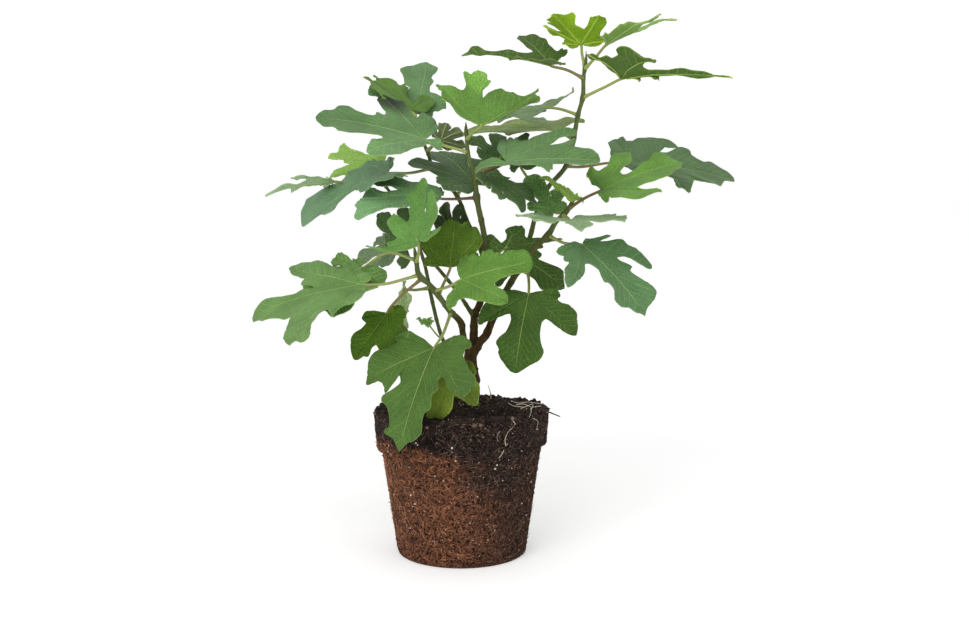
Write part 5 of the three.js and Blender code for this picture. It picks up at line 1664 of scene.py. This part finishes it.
class FigLeafSettings(PropertyGroup):
    """What a user would change about the leaves."""

    thickness: length_property("Thickness", 0.7, "Thickness of a leaf blade")
    swell_height: length_property("Swell", 0.45, "How far the blade swells between its side veins")
    wave_height: length_property("Wave", 1.4, "How far the margin waves up and down")
    vein_relief: length_property("Vein Relief", 0.8, "How far the midribs stand out of the lower face")
    # Dark Green is painted shade and Mid Green painted sunlight on mature leaves. Slate Green and Grey Green
    # are pale partly from their own colour and partly from a painted sky reflection and sheen.
    dark: colour_property("Dark Green", (0.054, 0.125, 0.032), "Upper face of shaded mature leaves")
    rich: colour_property("Rich Green", (0.049, 0.145, 0.014), "Upper face of deep green leaves")
    mid: colour_property("Mid Green", (0.101, 0.235, 0.075), "Upper face of sunlit mature leaves")
    slate: colour_property("Slate Green", (0.119, 0.250, 0.112), "Upper face of greyish mature leaves")
    bright: colour_property("Bright Green", (0.135, 0.330, 0.075), "Upper face of younger leaves")
    young: colour_property("Young Green", (0.245, 0.430, 0.110), "Upper face of the youngest leaves")
    grey: colour_property("Grey Green", (0.190, 0.285, 0.150), "Upper face of pale leaves seen edge on")
    olive: colour_property("Olive", (0.150, 0.225, 0.055), "Upper face of leaves that turn yellow")
    brown: colour_property("Brown Olive", (0.130, 0.150, 0.045), "Upper face of withered small leaves")
    petiole: colour_property("Petiole", (0.290, 0.345, 0.100), "Leaf stalks")


class FigStemSettings(PropertyGroup):
    """What a user would change about the stems."""

    skin_cell: length_property("Skin Cell", 0.85, "Size of the cells that join the stems into one skin")
    node_swelling: FloatProperty(name="Node Swelling", default=0.2, min=0, max=1,
                                 description="How much thicker a stem is where a leaf stalk leaves it")
    bark_relief: length_property("Bark Relief", 0.8, "Height of the roughest bark")
    old_wood: colour_property("Old Wood", (0.060, 0.036, 0.011), "Bark of the trunk")
    green_wood: colour_property("Green Wood", (0.122, 0.155, 0.050), "Skin of the growing ends")


class FigPotSettings(PropertyGroup):
    """What a user would change about the fibre pot."""

    felt_step: length_property("Felt Step", 1.25, "Distance between the rows of points on the wall")
    felt_relief: length_property("Felt Relief", 0.8, "Height of the dents in the felt")
    short_fibres: count_property("Short Fibres", 6200, "Short coir strands")
    long_fibres: count_property("Long Fibres", 650, "Long curved coir strands")
    wall_crumbs: count_property("Wall Crumbs", 4200, "Crumbs that cling to the pot")
    wall_colour: colour_property("Dry Felt", (0.178, 0.075, 0.040), "Coir of the lower wall")
    # Also the colour of the painted shade on the right of the wall.
    wet_and_shaded_colour: colour_property("Damp Felt", (0.036, 0.022, 0.019), "Coir of the collar")


class FigSoilSettings(PropertyGroup):
    """What a user would change about the soil."""

    crumb_relief: length_property("Crumb Relief", 1.0, "Height of the crumbs in the soil's top")
    crumb_count: count_property("Crumbs", 680, "Loose crumbs on the soil")
    soil_fibres: count_property("Soil Fibres", 1000, "Short fibres on the soil")
    chip_count: count_property("Bark Chips", 46, "Bark chips on the soil")
    top_specks: count_property("Perlite On Top", 110, "White specks in the soil")
    wall_specks: count_property("Perlite On Wall", 380, "White specks in the felt")
    soil_colour: colour_property("Soil", (0.034, 0.022, 0.018), "Damp soil")
    perlite_colour: colour_property("Perlite", (0.76, 0.71, 0.64), "White specks")
    root_colour: colour_property("Roots", (0.66, 0.58, 0.46), "Fine roots")


class FigStageSettings(PropertyGroup):
    """What a user would change about the stage."""

    floor_colour: colour_property("Floor", (0.93, 0.93, 0.93), "Floor and backdrop")
    key_power: FloatProperty(name="Key Light", default=10, min=0, unit="POWER", description="Front light")
    fill_power: FloatProperty(name="Fill Light", default=2.5, min=0, unit="POWER", description="Side light")
    floor_glow: FloatProperty(name="Floor Glow", default=0.25, min=0, description="Light from the floor")
    sky_strength: FloatProperty(name="Sky", default=0.68, min=0, description="Brightness of the surroundings")


def make_leaf(leaf, settings, materials, chance):
    """One leaf: its blade and its petiole, in place of its frame node."""
    pose = blade_pose(leaf)
    name = leaf["name"].replace("leaf_", "fig_leaf_")
    shell = joined([blade_shell(leaf, pose, settings, chance), petiole_shell(leaf, pose, 1)])
    piece = make_piece(name, shell, [materials[leaf["finish"]], materials["petiole"]], True)
    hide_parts(leaf["name"])
    return piece


def leaf_materials(settings):
    """A material for each finish that a leaf names, and one for the petioles. The green of a finish whose
    name ends in _under is that of the lower face."""
    finishes = {"petiole": petiole_material(settings.petiole)}
    for name, gloss in LEAF_GLOSS.items():
        green = tuple(getattr(settings, name.replace("_under", "").replace("young_", "young")))
        pale = tuple(0.55 * part + 0.45 * tone for part, tone in zip(green, LOWER_FACE_TONE))
        upper, lower = (scaled(green, 0.9), green) if name.endswith("_under") else (green, pale)
        vein = tuple(0.25 * part + 0.75 * tone for part, tone in zip(green, VEIN_TONE))
        title = "Fig Leaf " + name.title().replace("_", " ")
        finishes[name] = leaf_material(title, upper, lower, vein, gloss)
    return finishes


class FIG_OT_leaves(Operator):
    """Adds the leaves with their stalks"""

    bl_idname = "fig.leaves"
    bl_label = "Add Leaves"

    def execute(self, context):
        settings = context.scene.fig_leaves
        materials = leaf_materials(settings)
        for i, leaf in enumerate(LEAVES):
            make_leaf(leaf, settings, materials, np.random.default_rng(LEAF_SEED + i))
        return {"FINISHED"}


class FIG_OT_stems(Operator):
    """Adds the trunk and its branches"""

    bl_idname = "fig.stems"
    bl_label = "Add Stems"

    def execute(self, context):
        settings = context.scene.fig_stems
        shell = bark_shell(settings, np.random.default_rng(STEM_SEED))
        piece = make_piece("fig_stems", shell, [bark_material(settings.old_wood, settings.green_wood)])
        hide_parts("trunk_and_branches")
        return {"FINISHED"}


class FIG_OT_shoot(Operator):
    """Adds the young shoot with its two leaflets"""

    bl_idname = "fig.shoot"
    bl_label = "Add Young Shoot"

    def execute(self, context):
        settings = context.scene.fig_leaves
        chance = np.random.default_rng(SHOOT_SEED)
        places = np.array(SHOOT_STALK, float)
        line = smooth_curve(point_at(places[:, :3]), PETIOLE_STEPS)
        radii = np.interp(np.linspace(0, len(places) - 1, len(line)), np.arange(len(places)), places[:, 3])
        parts = [blade_shell(leaflet, blade_pose(leaflet), settings, chance) for leaflet in SHOOT_LEAFLETS]
        parts.append(tube(line, radii, PETIOLE_SIDES, 1, shade=1.0))
        green = tuple(settings.young)
        skin = leaf_material("Young Shoot Leaf", green, scaled(green, 1.15), scaled(green, 1.3), 0.5)
        piece = make_piece("fig_young_shoot", joined(parts), [skin, petiole_material(settings.petiole)], True)
        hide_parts("young_shoot")
        return {"FINISHED"}


class FIG_OT_pot(Operator):
    """Adds the fibre pot with its coir strands"""

    bl_idname = "fig.pot"
    bl_label = "Add Fibre Pot"

    def execute(self, context):
        settings = context.scene.fig_pot
        piece = make_piece("fig_fibre_pot", pot_shell(settings),
                           [felt_material(settings.wall_colour, settings.wet_and_shaded_colour)])
        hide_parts("fibre_pot")
        chance = np.random.default_rng(FIBRE_SEED)
        strand_shells = [wall_strands(chance, settings.short_fibres, 3, (3, 9), (0.22, 0.42), 0.4, 0.05),
                         wall_strands(chance, settings.long_fibres, 7, (12, 34), (0.14, 0.28), 0.9, 0.2),
                         soil_fibres_shell(context.scene.fig_soil, chance)]
        fibres = make_piece("fig_coir_strands", joined(strand_shells),
                            [coir_material(settings.wall_colour, settings.wet_and_shaded_colour)])
        crumbs = make_piece("fig_wall_crumbs", wall_crumbs_shell(settings, np.random.default_rng(CLING_SEED)),
                            [wall_crumb_material(settings.wall_colour, settings.wet_and_shaded_colour)])
        return {"FINISHED"}


class FIG_OT_soil(Operator):
    """Adds the soil with its crumbs, bark chips and perlite"""

    bl_idname = "fig.soil"
    bl_label = "Add Soil"

    def execute(self, context):
        settings = context.scene.fig_soil
        piece = make_piece("fig_potting_soil", soil_shell(settings), [soil_material(settings.soil_colour)])
        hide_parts("potting_soil")
        chance = np.random.default_rng(SOIL_SEED)
        crumbs = make_piece("fig_crumbs", crumbs_shell(settings, chance),
                            [crumb_material(settings.soil_colour)])
        specks = make_piece("fig_perlite", perlite_shell(settings, chance),
                            [perlite_material(settings.perlite_colour)])
        return {"FINISHED"}


class FIG_OT_roots(Operator):
    """Adds the fine roots and the twig at the pot's rim"""

    bl_idname = "fig.roots"
    bl_label = "Add Fine Roots"

    def execute(self, context):
        settings = context.scene.fig_soil
        roots = [thread(on_wall_seen(places_in(seen), 0.5), radius, radius, 6)
                 for seen, radius in WALL_ROOTS.items()]
        roots += [thread(point_at(places_in(places)), RIM_ROOT_RADIUS, RIM_ROOT_RADIUS, 5)
                  for places in RIM_ROOTS]
        piece = make_piece("fig_fine_roots", joined(roots), [root_material(settings.root_colour)])
        twig = thread(point_at(places_in(RIM_TWIG)), 0.9, 0.5, 8, tone=1.2)
        piece = make_piece("fig_rim_twig", twig, [crumb_material(settings.soil_colour)])
        grass = thread(point_at(places_in(GRASS_BLADE)), 0.7, 0.25, 6, shade=1.0)
        piece = make_piece("fig_sprout", grass, [petiole_material(GRASS_GREEN)])
        return {"FINISHED"}


class FIG_OT_stage(Operator):
    """Adds the floor, the backdrop, the lights and the camera"""

    bl_idname = "fig.stage"
    bl_label = "Add Stage"

    def execute(self, context):
        settings = context.scene.fig_stage
        turn = np.linspace(0, np.pi / 2, SWEEP_STEPS)
        sweep = np.column_stack([SWEEP_START + SWEEP_RADIUS * np.sin(turn),
                                 SWEEP_RADIUS - SWEEP_RADIUS * np.cos(turn)])
        side = np.concatenate([[[-PAPER_REACH, 0]], sweep, [[SWEEP_START + SWEEP_RADIUS, PAPER_REACH]]])
        points = np.concatenate([np.column_stack([np.full(len(side), x), side])
                                 for x in (-PAPER_HALF_WIDTH, PAPER_HALF_WIDTH)])
        faces = grid_faces(2, len(side), False)
        mesh = bpy.data.meshes.new("paper_sweep")
        mesh.from_pydata((points * MM).tolist(), [], faces.tolist())
        mesh.polygons.foreach_set("use_smooth", np.ones(len(faces), bool))
        paper = paper_material("White Paper", settings.floor_colour)
        shader = paper.node_tree.nodes["Principled BSDF"]
        shader.inputs["Emission Strength"].default_value = settings.floor_glow
        mesh.materials.append(paper)
        backdrop = bpy.data.objects.new("paper_sweep", mesh)
        context.scene.collection.objects.link(backdrop)

        world = bpy.data.worlds.new("White Surroundings")
        world.use_nodes = True
        world.node_tree.nodes["Background"].inputs["Color"].default_value = (1.0, 1.0, 1.0, 1.0)
        world.node_tree.nodes["Background"].inputs["Strength"].default_value = settings.sky_strength
        context.scene.world = world
        add_light(context, "key_light", KEY_PLACE, KEY_SIZE, settings.key_power)
        add_light(context, "fill_light", FILL_PLACE, FILL_SIZE, settings.fill_power)

        lens = bpy.data.cameras.new("front_camera")
        lens.sensor_width = SENSOR_WIDTH
        lens.lens = FOCAL_LENGTH / PICTURE_WIDTH * SENSOR_WIDTH
        camera = bpy.data.objects.new("front_camera", lens)
        camera.location = EYE * MM
        camera.rotation_euler = (np.pi / 2 - EYE_TILT, 0, 0)
        context.scene.collection.objects.link(camera)
        context.scene.camera = camera
        context.scene.view_settings.view_transform = "Standard"
        return {"FINISHED"}


def add_light(context, name, place, size, power):
    """A large square light that faces the middle of the plant."""
    lamp = bpy.data.lights.new(name, "AREA")
    lamp.size, lamp.energy = size, power
    light = bpy.data.objects.new(name, lamp)
    light.location = place
    towards = Vector(LIGHT_AIM) - light.location
    light.rotation_euler = towards.to_track_quat("-Z", "Y").to_euler()
    context.scene.collection.objects.link(light)


class FIG_PT_panel(Panel):
    """Lists the pieces of the plant in the sidebar"""

    bl_idname = "FIG_PT_panel"
    bl_label = "Potted Fig"
    bl_space_type = "VIEW_3D"
    bl_region_type = "UI"
    bl_category = "Potted Fig"

    def draw(self, context):
        for operator in OPERATORS:
            self.layout.operator(operator.bl_idname)


SETTINGS = {"fig_leaves": FigLeafSettings, "fig_stems": FigStemSettings, "fig_pot": FigPotSettings,
            "fig_soil": FigSoilSettings, "fig_stage": FigStageSettings}
OPERATORS = (FIG_OT_stage, FIG_OT_pot, FIG_OT_soil, FIG_OT_roots, FIG_OT_stems, FIG_OT_shoot, FIG_OT_leaves)


def register():
    for cls in (*SETTINGS.values(), *OPERATORS, FIG_PT_panel):
        bpy.utils.register_class(cls)
    for name, group in SETTINGS.items():
        setattr(bpy.types.Scene, name, PointerProperty(type=group))


def unregister():
    for name in SETTINGS:
        delattr(bpy.types.Scene, name)
    for cls in reversed((*SETTINGS.values(), *OPERATORS, FIG_PT_panel)):
        bpy.utils.unregister_class(cls)


def main():
    """Registers the add-on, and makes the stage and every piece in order."""
    register()
    bpy.ops.fig.stage()
    bpy.ops.fig.pot()
    bpy.ops.fig.soil()
    bpy.ops.fig.roots()
    bpy.ops.fig.stems()
    bpy.ops.fig.shoot()
    bpy.ops.fig.leaves()
    bpy.context.view_layer.update()


if __name__ == "__main__":
    main()
